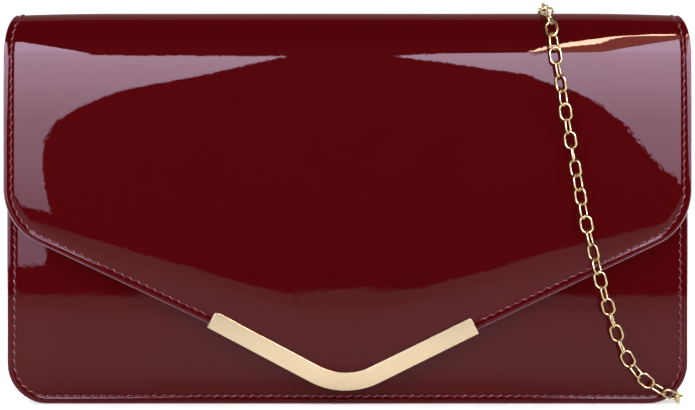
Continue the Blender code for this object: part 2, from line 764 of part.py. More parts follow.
PULL_EYE, PULL_R = 0.85, 1.6
pull_outline = []
for k in range(11):
    turn = math.radians(60 + 240 * k / 10)
    pull_outline.append((PIN[0] + PULL_R * math.cos(turn), PIN[1] + PULL_R * math.sin(turn)))
pull_outline += [(PIN[0] + 3, PIN[1] - 0.6), (PIN[0] + 16, PIN[1] - 0.6)]
pull_outline += [(PIN[0] + 16, PIN[1] + 0.6), (PIN[0] + 3, PIN[1] + 0.6)]
pull = loft(
    "zip_pull",
    [[(x, y, z) for x, y in pull_outline] for z in (ZIP_Z - 1.8, ZIP_Z + 1.8)],
    "gold",
    (PIN[0], PIN[1], ZIP_Z),
)
eye = [
    [
        (
            PIN[0] + PULL_EYE * math.cos(2 * math.pi * k / 12),
            PIN[1] + PULL_EYE * math.sin(2 * math.pi * k / 12),
            z,
        )
        for k in range(12)
    ]
    for z in (ZIP_Z - 3, ZIP_Z + 3)
]
boolean(pull, loft("pull_eye", eye, None, collection=cutters))

POCKET_HALF, POCKET_LOW = 84.0, 25.0
pocket_outline = [(12.6, POCKET_LOW), (14.2, POCKET_LOW), (14.2, 112.0), (13.8, 112.0), (13.8, 95.0), (12.6, 95.0)]
pocket = loft(
    "pocket_bag", [[(x, y, z) for y, z in pocket_outline] for x in (-POCKET_HALF, POCKET_HALF)], "lining"
)
pocket_space = box(
    "pocket_space",
    (-POCKET_HALF + 0.4, 12.95, POCKET_LOW + 0.4),
    (POCKET_HALF - 0.4, 13.8, 96.0),
    None,
    collection=cutters,
)
boolean(pocket, pocket_space)

# ---------------------------------------------------------------- the chain strap
CHAIN_R = 2.4
CHAIN_TURN = 0.42  # radians of bend between two points of a tube


def smooth_route(knots, step=12.0):
    """Points read off a smooth curve through the knots, closer together where it bends."""
    knots = [Vector(k) for k in knots]
    ends = [knots[0] * 2 - knots[1], *knots, knots[-1] * 2 - knots[-2]]
    fine = []
    for a, b, c, d in zip(ends, ends[1:], ends[2:], ends[3:]):
        reach = max((c - b).length, 1e-6)
        lead_in = (c - a) * reach / max((c - a).length, 1e-6)
        lead_out = (d - b) * reach / max((d - b).length, 1e-6)
        for k in range(24):
            t = k / 24
            fine.append(
                b * (2 * t**3 - 3 * t**2 + 1)
                + lead_in * (t**3 - 2 * t**2 + t)
                + c * (-2 * t**3 + 3 * t**2)
                + lead_out * (t**3 - t**2)
            )
    fine.append(knots[-1])
    costs = []
    for k in range(len(fine) - 1):
        ahead = fine[k + 1] - fine[k]
        behind = fine[k] - fine[k - 1] if k else ahead
        costs.append(ahead.length / step + behind.angle(ahead) / CHAIN_TURN)
    count = max(2, round(sum(costs)))
    each = sum(costs) / count
    route, gone = [fine[0]], 0.0
    for k, cost in enumerate(costs):
        gone += cost
        if gone >= each * len(route) and len(route) < count:
            route.append(fine[k + 1])
    route.append(fine[-1])
    return route


END_RIGHT = (
    (129.8, 10.0, 106.5),
    (132.4, 10.6, 102.5),
    (134.9, 12.3, 98.5),
    (136.2, 15.6, 94.0),
    (135.2, 19.1, 89.5),
    (131.5, 20.5, 84.0),
)
END_LEFT = tuple((-x, y, z) for x, y, z in END_RIGHT)
RISER = (
    (131.0, 20.6, 83.2),
    (127.0, 20.8, 76.0),
    (124.0, 21.0, 60.0),
    (123.5, 21.0, 38.0),
    (125.5, 20.8, 20.0),
)
FRONT_RUN = (
    (125.6, 20.7, 19.4),
    (127.6, 20.6, 10.0),
    (129.6, 19.9, 5.0),
    (130.6, 16.0, 2.7),
    (130.6, 6.0, 2.6),
    (130.6, -7.5, 2.6),
    (130.0, -11.2, 2.9),
    (127.0, -12.9, 4.0),
    (121.5, -13.0, 6.6),
    (114.5, -13.0, 12.0),
    (108.4, -13.2, 21.5),
    (103.6, -15.2, 34.5),
    (99.9, -17.7, 46.0),
    (96.2, -18.2, 60.0),
    (92.6, -18.1, 75.0),
    (89.6, -18.1, 91.0),
    (86.2, -18.1, 110.0),
    (83.4, -18.1, 127.0),
    (81.5, -18.1, 137.0),
    (80.2, -15.6, 147.4),
    (79.2, -8.8, 154.3),
    (78.3, 0.6, 156.8),
    (77.9, 10.0, 154.3),
    (77.7, 16.8, 147.4),
    (77.6, 19.3, 137.0),
    (77.5, 19.4, 126.0),
)
BACK_RUN = (
    (77.5, 19.45, 125.4),
    (77.3, 19.6, 100.0),
    (77.0, 20.0, 70.0),
    (76.0, 21.2, 42.0),
    (73.0, 25.0, 20.0),
    (66.0, 32.5, 6.5),
    (54.0, 38.4, 3.2),
    (40.0, 40.0, 3.0),
    (15.0, 39.9, 3.4),
    (-10.0, 39.9, 3.4),
    (-50.0, 40.0, 3.0),
    (-80.0, 40.0, 2.8),
    (-84.1, 35.9, 2.8),
    (-80.0, 31.8, 2.8),
    (-50.0, 31.9, 3.0),
    (-10.0, 31.9, 3.4),
    (15.0, 31.9, 3.4),
    (40.0, 31.8, 2.8),
    (44.1, 27.7, 2.8),
    (40.0, 23.6, 2.8),
    (15.0, 23.8, 3.4),
    (-10.0, 23.8, 3.4),
    (-50.0, 23.8, 2.9),
    (-90.0, 24.0, 2.8),
    (-110.0, 24.2, 3.4),
    (-120.0, 23.0, 9.0),
    (-123.5, 21.6, 22.0),
    (-124.5, 21.0, 42.0),
    (-124.5, 21.0, 62.0),
    (-127.4, 20.8, 76.0),
    (-131.0, 20.6, 83.2),
)
TIE_Y = (20.6, 43.2)
TIE_Z = (0.15, 6.6)
TIE_WALL = 0.35
TIE_X = (1.0, 6.0)


def rounded_ring(y_span, z_span, radius, steps=4):
    """A rounded rectangle of (y, z) points."""
    (y0, y1), (z0, z1) = y_span, z_span
    corners = ((y1 - radius, z1 - radius, 0), (y0 + radius, z1 - radius, 90))
    corners += ((y0 + radius, z0 + radius, 180), (y1 - radius, z0 + radius, 270))
    ring = []
    for y, z, start in corners:
        for k in range(steps + 1):
            turn = math.radians(start + 90 * k / steps)
            ring.append((y + radius * math.cos(turn), z + radius * math.sin(turn)))
    return ring


def band(name, x_span, outer, inner, look):
    """A closed band between two rings of (y, z) points."""
    count = len(outer)
    points = [(x, y, z) for x in x_span for ring in (outer, inner) for y, z in ring]
    faces = []
    for k in range(count):
        after = (k + 1) % count
        faces.append((k, after, 2 * count + after, 2 * count + k))
        faces.append((count + k, count + after, 3 * count + after, 3 * count + k))
        faces.append((k, after, count + after, count + k))
        faces.append((2 * count + k, 2 * count + after, 3 * count + after, 3 * count + k))
    return mesh_piece(name, points, faces, look)


tie_inner = rounded_ring(
    (TIE_Y[0] + TIE_WALL, TIE_Y[1] - TIE_WALL), (TIE_Z[0] + TIE_WALL, TIE_Z[1] - TIE_WALL), 2.4
)
band("chain_tie", TIE_X, rounded_ring(TIE_Y, TIE_Z, 2.4 + TIE_WALL), tie_inner, "tape")
poly_tube("chain_end_right", smooth_route(END_RIGHT, 6.0), CHAIN_R, "chain")
poly_tube("chain_end_left", smooth_route(END_LEFT, 6.0), CHAIN_R, "chain")
poly_tube("chain_riser", smooth_route(RISER), CHAIN_R, "chain")
poly_tube("chain_front", smooth_route(FRONT_RUN), CHAIN_R, "chain")
poly_tube("chain_back", smooth_route(BACK_RUN, 14.0), CHAIN_R, "chain")
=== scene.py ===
"""The look of a patent clutch purse, round its CAD frame. Lengths are millimetres until a mesh is made."""

import math

import bmesh
import bpy
from mathutils import Matrix, Vector, noise


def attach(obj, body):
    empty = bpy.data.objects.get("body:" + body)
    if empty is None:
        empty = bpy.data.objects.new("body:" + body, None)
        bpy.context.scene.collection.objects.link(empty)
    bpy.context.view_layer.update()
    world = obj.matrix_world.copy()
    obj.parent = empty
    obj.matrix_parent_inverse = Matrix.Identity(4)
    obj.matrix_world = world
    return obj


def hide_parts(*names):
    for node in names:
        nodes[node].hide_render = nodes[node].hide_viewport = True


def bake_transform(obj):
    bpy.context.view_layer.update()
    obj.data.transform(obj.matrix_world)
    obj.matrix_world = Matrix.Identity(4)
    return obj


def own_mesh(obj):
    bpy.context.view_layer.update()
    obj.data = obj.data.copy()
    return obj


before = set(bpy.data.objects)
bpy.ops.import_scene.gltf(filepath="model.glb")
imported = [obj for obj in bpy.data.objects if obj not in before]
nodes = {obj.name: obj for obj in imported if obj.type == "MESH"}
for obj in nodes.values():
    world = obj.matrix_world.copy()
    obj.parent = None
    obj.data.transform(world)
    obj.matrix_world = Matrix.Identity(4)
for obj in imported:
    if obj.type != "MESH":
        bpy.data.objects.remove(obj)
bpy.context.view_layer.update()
scene = bpy.context.scene
MM = 0.001

# The outer skin: back, rolled fold and flap, as one sheet.
FOLD_Y, FOLD_Z = 0.6, 138.1
FOLD_R = 15.9
SKIN = 0.9
BACK_HALF, FLAP_HALF = 133.2, 135.2
FRONT_HALF = 134.5
FOLD_WAIST = 2.2
BACK_Y, FLAP_Y = FOLD_Y + FOLD_R, FOLD_Y - FOLD_R
FRONT_Y = -9.4
MOUTH_Z = 132.0
CORNER_R = 16.0
T_BACK = FOLD_Z  # run along the sheet where the fold starts, and where it ends
T_FRONT = FOLD_Z + math.pi * FOLD_R
FLAP_CORNERS = (
    ((-135.2, 138.1), 0.0),
    ((-135.2, 70.0), 23.5),
    ((-54.5, 31.8), 70.0),
    ((-1.2, 3.3), 29.0),
    ((51.0, 29.4), 70.0),
    ((135.2, 69.3), 23.5),
    ((135.2, 138.1), 0.0),
)


# ---------------------------------------------------------------- camera and view transform
def make_camera():
    data = bpy.data.cameras.new("camera")
    data.sensor_width = 36.0
    data.lens = 132.0
    data.clip_start, data.clip_end = 0.05, 30.0
    made = bpy.data.objects.new("camera", data)
    made.location = (0.0, -1.0153, 0.0785)
    made.rotation_euler = (math.pi / 2, 0, 0)
    scene.collection.objects.link(made)
    scene.camera = made


make_camera()
scene.view_settings.view_transform = "Standard"


# ---------------------------------------------------------------- materials
def node_material(name, colour, metallic=0.0, roughness=0.5, **more):
    """A Principled material whose colour and gloss vary a little, and its shader and noise nodes."""
    made = bpy.data.materials.new(name)
    made.use_nodes = True
    tree = made.node_tree
    shader = tree.nodes["Principled BSDF"]
    shader.inputs["Metallic"].default_value = metallic
    for key, value in more.items():
        shader.inputs[key.replace("_", " ")].default_value = value
    where = tree.nodes.new("ShaderNodeTexCoord")
    cloud = tree.nodes.new("ShaderNodeTexNoise")
    cloud.inputs["Scale"].default_value = 60.0
    tree.links.new(where.outputs["Object"], cloud.inputs["Vector"])
    ramp = tree.nodes.new("ShaderNodeValToRGB")
    for stop, share in zip(ramp.color_ramp.elements, (0.92, 1.06)):
        stop.color = (*[c * share for c in colour], 1)
    tree.links.new(cloud.outputs["Fac"], ramp.inputs["Fac"])
    tree.links.new(ramp.outputs["Color"], shader.inputs["Base Color"])
    rough = tree.nodes.new("ShaderNodeMapRange")
    rough.inputs["To Min"].default_value = roughness * 0.9
    rough.inputs["To Max"].default_value = roughness * 1.1
    tree.links.new(cloud.outputs["Fac"], rough.inputs["Value"])
    tree.links.new(rough.outputs["Result"], shader.inputs["Roughness"])
    return made


def add_bump(made, scale, strength, distance, target="Normal", stretch=(1, 1, 1), detail=2.0):
    tree = made.node_tree
    shader = tree.nodes["Principled BSDF"]
    where = tree.nodes.new("ShaderNodeTexCoord")
    spread = tree.nodes.new("ShaderNodeMapping")
    spread.inputs["Scale"].default_value = stretch
    grain = tree.nodes.new("ShaderNodeTexNoise")
    grain.inputs["Scale"].default_value = scale
    grain.inputs["Detail"].default_value = detail
    bump = tree.nodes.new("ShaderNodeBump")
    bump.inputs["Strength"].default_value = strength
    bump.inputs["Distance"].default_value = distance
    tree.links.new(where.outputs["Object"], spread.inputs["Vector"])
    tree.links.new(spread.outputs["Vector"], grain.inputs["Vector"])
    tree.links.new(grain.outputs["Fac"], bump.inputs["Height"])
    tree.links.new(bump.outputs["Normal"], shader.inputs[target])
    return made


PATENT = node_material(
    "patent_wine", (0.058, 0.0010, 0.0019), 0.0, 0.3, Coat_Weight=0.22, Coat_Roughness=0.012,
    Specular_IOR_Level=0.0
)
add_bump(PATENT, 620.0, 0.16, 0.00002, "Coat Normal")
PAINT = node_material("painted_edge", (0.10, 0.012, 0.03), 0.0, 0.2, Coat_Weight=0.6, Coat_Roughness=0.05)
GOLD = node_material("pale_gold", (0.90, 0.78, 0.45), 1.0, 0.2)
TRIM_GOLD = node_material("trim_gold", (0.385, 0.325, 0.205), 1.0, 0.15)
CHAIN_GOLD = node_material("chain_gold", (0.44, 0.35, 0.18), 1.0, 0.2)
LINING_CLOTH = add_bump(
    node_material("lining_cloth", (0.060, 0.006, 0.010), 0.0, 0.85, Specular_IOR_Level=0.0),
    900.0, 0.5, 0.0001,
)
TAPE_CLOTH = add_bump(
    node_material("zip_tape_cloth", (0.035, 0.004, 0.007), 0.0, 0.8, Specular_IOR_Level=0.05),
    1500.0, 0.5, 0.0001,
)
BOARD_GREY = node_material("board_grey", (0.5, 0.42, 0.32), 0.0, 0.9, Specular_IOR_Level=0.1)
MAGNET = node_material("magnet_grey", (0.2, 0.2, 0.22), 0.8, 0.4)
THREAD = add_bump(
    node_material("wine_thread", (0.13, 0.007, 0.015), 0.0, 0.5, Specular_IOR_Level=0.15, Coat_Weight=0.5,
        Coat_Roughness=0.08),
    4000.0, 0.4, 0.00005
)
# painted shade: a dark material for the small plugs that stand in for the shade inside the needle holes
HOLE_SHADE = node_material("stitch_hole", (0.02, 0.001, 0.003), 0.0, 0.6)
FLOOR = node_material("pale_floor", (0.94, 0.94, 0.94), 0.0, 0.9, Emission_Color=(1, 1, 1, 1),
    Emission_Strength=0.25)
BLACK = node_material("black_cloth", (0.004, 0.004, 0.004), 0.0, 1.0)


# ---------------------------------------------------------------- mesh helpers
def mesh_object(name, points, faces, looks, smooth=True, normals=None, indices=None):
    """A mesh object from points in millimetres."""
    mesh = bpy.data.meshes.new(name)
    mesh.from_pydata([Vector(p) * MM for p in points], [], faces)
    for look in looks:
        mesh.materials.append(look)
    mesh.polygons.foreach_set("use_smooth", [smooth] * len(mesh.polygons))
    if indices:
        mesh.polygons.foreach_set("material_index", indices)
    if normals:
        mesh.normals_split_custom_set_from_vertices(normals)
    mesh.update()
    made = bpy.data.objects.new(name, mesh)
    scene.collection.objects.link(made)
    return made


def rounded(corners, steps=20):
    """The outline through corners, each rounded by its radius."""
    outline = []
    for k, (corner, radius) in enumerate(corners):
        here = Vector(corner)
        if radius == 0:
            outline.append(here)
            continue
        before = (Vector(corners[k - 1][0]) - here).normalized()
        after = (Vector(corners[k + 1][0]) - here).normalized()
        half = before.angle(after) / 2
        middle = here + (before + after).normalized() * radius / math.sin(half)
        first = here + before * radius / math.tan(half) - middle
        last = here + after * radius / math.tan(half) - middle
        turn = first.angle_signed(last)
        count = max(4, round(steps * abs(turn)))
        for j in range(count + 1):
            cos, sin = math.cos(-turn * j / count), math.sin(-turn * j / count)
            outline.append(middle + Vector((first.x * cos - first.y * sin, first.x * sin + first.y * cos)))
    return outline


def soften(made, width, segments=3, angle=35):
    """Rounds a hard piece's edges."""
    weld = made.modifiers.new("weld", "WELD")
    weld.merge_threshold = 1e-6
    bevel = made.modifiers.new("bevel", "BEVEL")
    bevel.width = width * MM
    bevel.segments = segments
    bevel.limit_method = "ANGLE"
    bevel.angle_limit = math.radians(angle)
    bevel.harden_normals = True
    return made


def smooth_step(value):
    value = min(1.0, max(0.0, value))
    return value * value * (3 - 2 * value)


def smooth_line(knots, steps=24):
    """Points of a smooth curve through the knots."""
    knots = [Vector(k) for k in knots]
    ends = [knots[0] * 2 - knots[1], *knots, knots[-1] * 2 - knots[-2]]
    fine = []
    for a, b, c, d in zip(ends, ends[1:], ends[2:], ends[3:]):
        reach = max((c - b).length, 1e-6)
        lead_in = (c - a) * reach / max((c - a).length, 1e-6)
        lead_out = (d - b) * reach / max((d - b).length, 1e-6)
        for k in range(steps):
            t = k / steps
            fine.append(
                b * (2 * t**3 - 3 * t**2 + 1)
                + lead_in * (t**3 - 2 * t**2 + t)
                + c * (-2 * t**3 + 3 * t**2)
                + lead_out * (t**3 - t**2)
            )
    fine.append(knots[-1])
    return fine


def at_lengths(line, lengths):
    """Points of a line at these distances along it, in order."""
    found, gone, k = [], 0.0, 0
    for wanted in lengths:
        while k < len(line) - 2 and gone + (line[k + 1] - line[k]).length < wanted:
            gone += (line[k + 1] - line[k]).length
            k += 1
        step = (line[k + 1] - line[k]).length or 1e-9
        found.append(line[k].lerp(line[k + 1], (wanted - gone) / step))
    return found


def line_length(line):
    return sum((b - a).length for a, b in zip(line, line[1:]))


# ---------------------------------------------------------------- sheets of leather
GROOVE_IN, GROOVE_DEEP, GROOVE_WIDE = 3.0, 0.2, 0.85
FACE_INSETS = (8.0, 5.6, 4.4, 3.9, 3.5, 3.2, 3.0, 2.8, 2.5, 2.1, 1.6, 1.0)


def edge_profile(thick, groove=True, arc=8):
    """Points over a rounded edge, outer face to inner: (inset, depth, normal inward, normal out)."""
    radius = thick / 2
    made = []
    for inset in FACE_INSETS:
        if inset <= radius:
            continue
        deep, lean = 0.0, 0.0
        if groove:
            off = (inset - GROOVE_IN) / GROOVE_WIDE
            deep = GROOVE_DEEP * math.exp(-off * off)
            lean = -2 * off / GROOVE_WIDE * deep
        length = math.hypot(1, lean)
        made.append((inset, deep, lean / length, 1 / length))
    for k in range(arc + 1):
        turn = math.pi * (0.5 - k / arc)
        inset = radius * (1 - math.cos(turn))
        made.append((inset, radius * (1 - math.sin(turn)), -math.cos(turn), math.sin(turn)))
    made.append((3.0, thick, 0.0, -1.0))
    made.append((8.0, thick, 0.0, -1.0))
    return made


def sheet_frame(place, x, t, d):
    """The outward normal of the sheet here, and the direction d (in x, t) along it."""
    step = 0.05
    across = place(x + step, t, 0) - place(x - step, t, 0)
    along = place(x, t + step, 0) - place(x, t - step, 0)
    return across.cross(along).normalized(), (across * d[0] + along * d[1]).normalized()


def slab(name, rows, place, thick, columns, caps=(False, False), looks=None, groove=True, flip=1):
    """A sheet with rounded edges. A row is (left x, left t, inward x, inward t, right x, ...), and
    place(x, t, depth) gives a point. A cap closes the first or last row with the same rounded edge.
    flip is -1 if the sheet's front
    lies against x cross t."""
    profile = edge_profile(thick, groove)
    count = len(profile)
    points, normals, faces, kinds = [], [], [], []

    def add(x, t, d, entry):
        inset, depth, lean_in, lean_out = entry
        px, pt = x + d[0] * inset, t + d[1] * inset
        out, inward = sheet_frame(place, px, pt, d)
        points.append(place(px, pt, depth))
        normals.append((out * flip * lean_out + inward * lean_in).normalized())
        return len(points) - 1

    def middle(row, entry, k):
        """A point of the line that joins a row's two sides at this profile entry."""
        share = k / columns
        lx, lt, ldx, ldt, rx, rt, rdx, rdt = row
        a = (lx + ldx * entry[0], lt + ldt * entry[0])
        b = (rx + rdx * entry[0], rt + rdt * entry[0])
        d = (ldx + (rdx - ldx) * share, ldt + (rdt - ldt) * share)
        size = math.hypot(*d) or 1.0
        flat = (0.0, entry[1], entry[2], entry[3])
        return add(a[0] + (b[0] - a[0]) * share, a[1] + (b[1] - a[1]) * share, (d[0] / size, d[1] / size),
            flat)

    rings = []
    for row in rows:
        lx, lt, ldx, ldt, rx, rt, rdx, rdt = row
        left = [add(lx, lt, (ldx, ldt), entry) for entry in profile]
        right = [add(rx, rt, (rdx, rdt), entry) for entry in profile]
        outer = [middle(row, profile[0], k) for k in range(1, columns)]
        inner = [middle(row, profile[-1], k) for k in range(1, columns)]
        rings.append((left, right, outer, inner))
    edge_start = len([i for i in FACE_INSETS if i > thick / 2])

    def strip(one, two, kind_of):
        for k in range(len(one) - 1):
            faces.append((one[k], one[k + 1], two[k + 1], two[k]))
            kinds.append(kind_of(k))

    def edge_kind(k):
        return 1 if edge_start <= k < count - 3 else (2 if k >= count - 3 else 0)

    for low, high in zip(rings, rings[1:]):
        strip(low[0][::-1] + low[2] + low[1], high[0][::-1] + high[2] + high[1],
              lambda k: edge_kind(count - 2 - k) if k < count - 1 else
              (0 if k < count - 1 + columns else edge_kind(k - count + 1 - columns)))
        strip(low[1][-1:] + low[3][::-1] + low[0][-1:], high[1][-1:] + high[3][::-1] + high[0][-1:],
            lambda k: 2)
    for wanted, index in zip(caps, (0, -1)):
        if not wanted:
            continue
        left, right, outer, inner = rings[index]
        lines = [left[:1] + outer + right[:1]]
        for j in range(1, count - 1):
            lines.append(
                [left[j]] + [middle(rows[index], profile[j], k) for k in range(1, columns)] + [right[j]]
            )
        lines.append(left[-1:] + inner + right[-1:])
        for j, (one, two) in enumerate(zip(lines, lines[1:])):
            if index == 0:
                one, two = two, one
            strip(one, two, lambda k, j=j: edge_kind(j))
    if flip < 0:
        faces = [f[::-1] for f in faces]
    return mesh_object(name, points, faces, looks or [PATENT, PAINT, LINING_CLOTH], True, normals, kinds)


def fold_half(angle):
    share = angle / 180
    return BACK_HALF + (FLAP_HALF - BACK_HALF) * share - FOLD_WAIST * math.sin(math.radians(angle)) ** 4


def pillow(distance, reach, drop):
    """How far a sheet sinks this close to its edge."""
    return -drop * max(0.0, 1 - distance / reach) ** 2


def waviness(x, t, seed):
    return (
        0.05 * noise.noise(Vector((x / 45, t / 45, seed)))
        + 0.006 * noise.noise(Vector((x / 11, t / 11, seed + 5)))
    )


EASE_REACH, EASE_DROP = 26.0, 0.9  # the flap leans back a little before the fold
FOLD_CROWN = 0.75  # and the fold stands this much proud of its roll
SIDE_REACH, SIDE_DROP = 40.0, 0.8
VEE_REACH, VEE_DROP = 25.0, 0.42


def line_distance(x, z, a, b):
    """Distance above the line from a to b."""
    dx, dz = b[0] - a[0], b[1] - a[1]
    return ((z - a[1]) * dx - (x - a[0]) * dz) / math.hypot(dx, dz)


def ease(t):
    """How far the sheet sinks on both sides of the line where the flap turns into the fold."""
    half_fold = math.pi * FOLD_R / 2
    u = T_FRONT - t
    if u < 0:
        return -EASE_DROP * max(0.0, 1 + u / EASE_REACH) ** 2
    if u < half_fold:
        s = u / half_fold
        lean = -2 * EASE_DROP / EASE_REACH * half_fold
        return -EASE_DROP + (EASE_DROP + FOLD_CROWN) * smooth_step(s) + lean * s * (1 - s) ** 2
    return FOLD_CROWN * (1 - smooth_step((u - half_fold) / half_fold))


def skin_swell(x, t):
    angle = math.degrees(min(max(t - T_BACK, 0.0) / FOLD_R, math.pi))
    sink = pillow(fold_half(angle) - abs(x), SIDE_REACH, SIDE_DROP) + ease(t)
    if t > T_FRONT:
        z = FOLD_Z - (t - T_FRONT)
        sink += pillow(line_distance(x, z, (-135.2, 70.0), (-1.2, 3.0)), VEE_REACH, VEE_DROP)
        sink += pillow(line_distance(x, z, (-1.2, 3.0), (135.2, 69.3)), VEE_REACH, VEE_DROP)
    return sink + waviness(x, t, 1.7)


def skin_place(x, t, depth):
    """A point of the outer skin at this run from the back's lower edge."""
    angle = min(max(t - T_BACK, 0.0) / FOLD_R, math.pi)
    ny, nz = math.cos(angle), math.sin(angle)
    z = t if t < T_BACK else FOLD_Z - max(0.0, t - T_FRONT)
    out = FOLD_R + skin_swell(x, t) - depth
    return Vector((x, FOLD_Y + ny * out, z + nz * out))


def side_row(x, t):
    return (-x, t, 1.0, 0.0, x, t, -1.0, 0.0)


def panel_rows(half, low, high, r_low, r_high, step=6.0, turns=10):
    """Rows of an upright panel rounded at its corners."""
    rows = []
    for k in range(turns + 1):
        turn = math.radians(90 * k / turns)
        sin, cos = math.sin(turn), math.cos(turn)
        x, z = half - r_low + r_low * sin, low + r_low * (1 - cos)
        rows.append((-x, z, sin, cos, x, z, -sin, cos))
    start, stop = low + r_low, high - r_high
    count = max(1, round((stop - start) / step))
    rows += [side_row(half, start + (stop - start) * k / count) for k in range(1, count + 1)]
    if r_high:
        for k in range(1, turns + 1):
            turn = math.radians(90 * k / turns)
            sin, cos = math.sin(turn), math.cos(turn)
            x, z = half - r_high + r_high * cos, stop + r_high * sin
            rows.append((-x, z, cos, -sin, x, z, -cos, -sin))
    return rows


def fold_rows(first, last, step=3.0):
    count = round((last - first) / step)
    angles = [first + (last - first) * k / count for k in range(count + 1)]
    return [side_row(fold_half(a), T_BACK + math.radians(a) * FOLD_R) for a in angles]


FLAP_OUTLINE = rounded(FLAP_CORNERS)
TIP = min(range(len(FLAP_OUTLINE)), key=lambda k: FLAP_OUTLINE[k].y)


def outline_at(side, z):
    """(x, inward x, inward z) of the flap's outline at this height."""
    for a, b in zip(side, side[1:]):
        if a.y <= z <= b.y and b.y > a.y:
            share = (z - a.y) / (b.y - a.y)
            along = (b - a).normalized()
            inward = Vector((along.y, -along.x))
            if inward.x * a.x > 0 and abs(a.x) > 3:
                inward = -inward
            return a.x + (b.x - a.x) * share, inward.x, inward.y
    return side[-1].x, -math.copysign(1, side[-1].x), 0.0


def flap_rows(z_top=FOLD_Z, step=4.0):
    """Rows of the flap from its straight top down to its point."""
    left = FLAP_OUTLINE[: TIP + 1][::-1]
    right = FLAP_OUTLINE[TIP:]
    levels = sorted({round(p.y, 3) for p in left[1:]} | {FOLD_Z})
    fine = []
    for low, high in zip(levels, levels[1:]):
        count = max(1, math.ceil((high - low) / step))
        fine += [low + (high - low) * k / count for k in range(count)]
    rows = []
    for z in [*fine, z_top][::-1]:
        if z > z_top:
            continue
        lx, lnx, lnz = outline_at(left, z)
        rx, rnx, rnz = outline_at(right, z)
        t = T_FRONT + FOLD_Z - z
        rows.append((lx, t, abs(lnx), -abs(lnz), rx, t, -abs(rnx), -abs(rnz)))
    tip = left[0]
    t = T_FRONT + FOLD_Z - tip.y
    rows.append((tip.x - 0.01, t, 0.0, -1.0, tip.x + 0.01, t, 0.0, -1.0))
    return rows


def across_hinge(made):
    """Bakes the transform of a piece of the rolled sheet into its mesh."""
    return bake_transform(made)


skin_back = slab("skin_back", panel_rows(BACK_HALF, 0, FOLD_Z, CORNER_R, 0) + fold_rows(0, 60)[1:],
    skin_place, SKIN,
                 28, (True, False), flip=-1)
skin_fold = slab("skin_fold", fold_rows(60, 120), skin_place, SKIN, 28, flip=-1)
skin_flap = slab("skin_flap", fold_rows(120, 180)[:-1] + flap_rows(), skin_place, SKIN, 28, flip=-1)
across_hinge(skin_back)
across_hinge(skin_fold)
across_hinge(skin_flap)
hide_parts("back_panel")
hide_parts("fold_skin_back", "fold_skin_front")
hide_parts("flap_skin")


def front_swell(x, z):
    sink = (
        pillow(FRONT_HALF - abs(x), SIDE_REACH, SIDE_DROP)
        + pillow(z, 22.0, 0.35)
        + pillow(MOUTH_Z - z, 100.0, 1.0)
    )
    return sink + waviness(x, z, 9.3)


def front_place(x, t, depth):
    return Vector((x, FRONT_Y - front_swell(x, t) + depth, t))


front_skin = slab("front_skin", panel_rows(FRONT_HALF, 0, MOUTH_Z, CORNER_R, 8.0), front_place, SKIN, 28,
    (True, True))
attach(front_skin, "front")
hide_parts("front_panel")


# ---------------------------------------------------------------- stitching
STITCH_PITCH, STITCH_LONG, THREAD_R = 3.5, 2.5, 0.42
STITCH_SHARES = (0.0, 0.12, 0.3, 0.5, 0.7, 0.88, 1.0)
STITCH_LIFTS = (-0.34, 0.02, 0.17, 0.21, 0.17, 0.02, -0.34)


def stitching(name, lines, place, flip=1, keep=lambda x, t: True):
    """Lockstitches of real thread along lines of (x, t), with a small dark plug at each end as painted shade
    for its needle hole.
    """
    points, faces, kinds = [], [], []
    for line in lines:
        line = [Vector(p) for p in line]
        count = int(line_length(line) // STITCH_PITCH)
        lead = (line_length(line) - count * STITCH_PITCH + STITCH_PITCH - STITCH_LONG) / 2
        wanted = []
        for k in range(count):
            wanted += [lead + k * STITCH_PITCH + STITCH_LONG * share for share in STITCH_SHARES]
        found = at_lengths(line, wanted)
        size = len(STITCH_SHARES)
        for k in range(count):
            run = found[k * size : (k + 1) * size]
            if not keep(*run[3]):
                continue
            along = (run[-1] - run[0]).normalized()
            aside = Vector((-along.y, along.x))
            jitter = 0.1 * noise.noise(Vector((run[0].x, run[0].y, 2.2)))
            rings = []
            for share, lift, spot in zip(STITCH_SHARES, STITCH_LIFTS, run):
                spot = spot + aside * ((share - 0.5) * 1.0 + jitter)
                out, way = sheet_frame(place, spot.x, spot.y, along)
                out = out * flip
                centre = place(spot.x, spot.y, 0) + out * (lift - GROOVE_DEEP * 0.7)
                side = out.cross(way)
                width = THREAD_R * (0.55 if share in (0.0, 1.0) else 1.0)
                rings.append(len(points))
                for j in range(6):
                    turn = math.pi * j / 3
                    points.append(centre + (side * math.cos(turn) + out * 0.8 * math.sin(turn)) * width)
            for a, b in zip(rings, rings[1:]):
                faces += [(a + j, a + (j + 1) % 6, b + (j + 1) % 6, b + j) for j in range(6)]
                kinds += [0] * 6
            faces += [tuple(range(rings[0], rings[0] + 6))[::-1], tuple(range(rings[-1], rings[-1] + 6))]
            kinds += [0, 0]
            # at each stitch end, a small dark plug sunk into the groove: painted shade for the needle hole
            for share in (-0.07, 1.07):
                spot = run[0].lerp(run[-1], share)
                out, way = sheet_frame(place, spot.x, spot.y, along)
                out = out * flip
                side = out.cross(way)
                centre = place(spot.x, spot.y, 0) - out * GROOVE_DEEP
                start = len(points)
                for height, width in ((0.02, 0.3), (-0.3, 0.42)):
                    for j in range(8):
                        turn = math.pi * j / 4
                        points.append(centre + (side * math.cos(turn) + way * math.sin(turn)) * width
                            + out * height)
                faces += [
                    (start + j, start + (j + 1) % 8, start + 8 + (j + 1) % 8, start + 8 + j)
                    for j in range(8)
                ]
                faces += [tuple(range(start, start + 8))[::-1], tuple(range(start + 8, start + 16))]
                kinds += [1] * 10
    return mesh_object(name, points, faces, [THREAD, HOLE_SHADE], True, None, kinds)


def row_sides(rows, inset=GROOVE_IN):
    """The two side lines of some rows, this far in from the edge."""
    left = [(row[0] + row[2] * inset, row[1] + row[3] * inset) for row in rows]
    right = [(row[4] + row[6] * inset, row[5] + row[7] * inset) for row in rows]
    return left, right


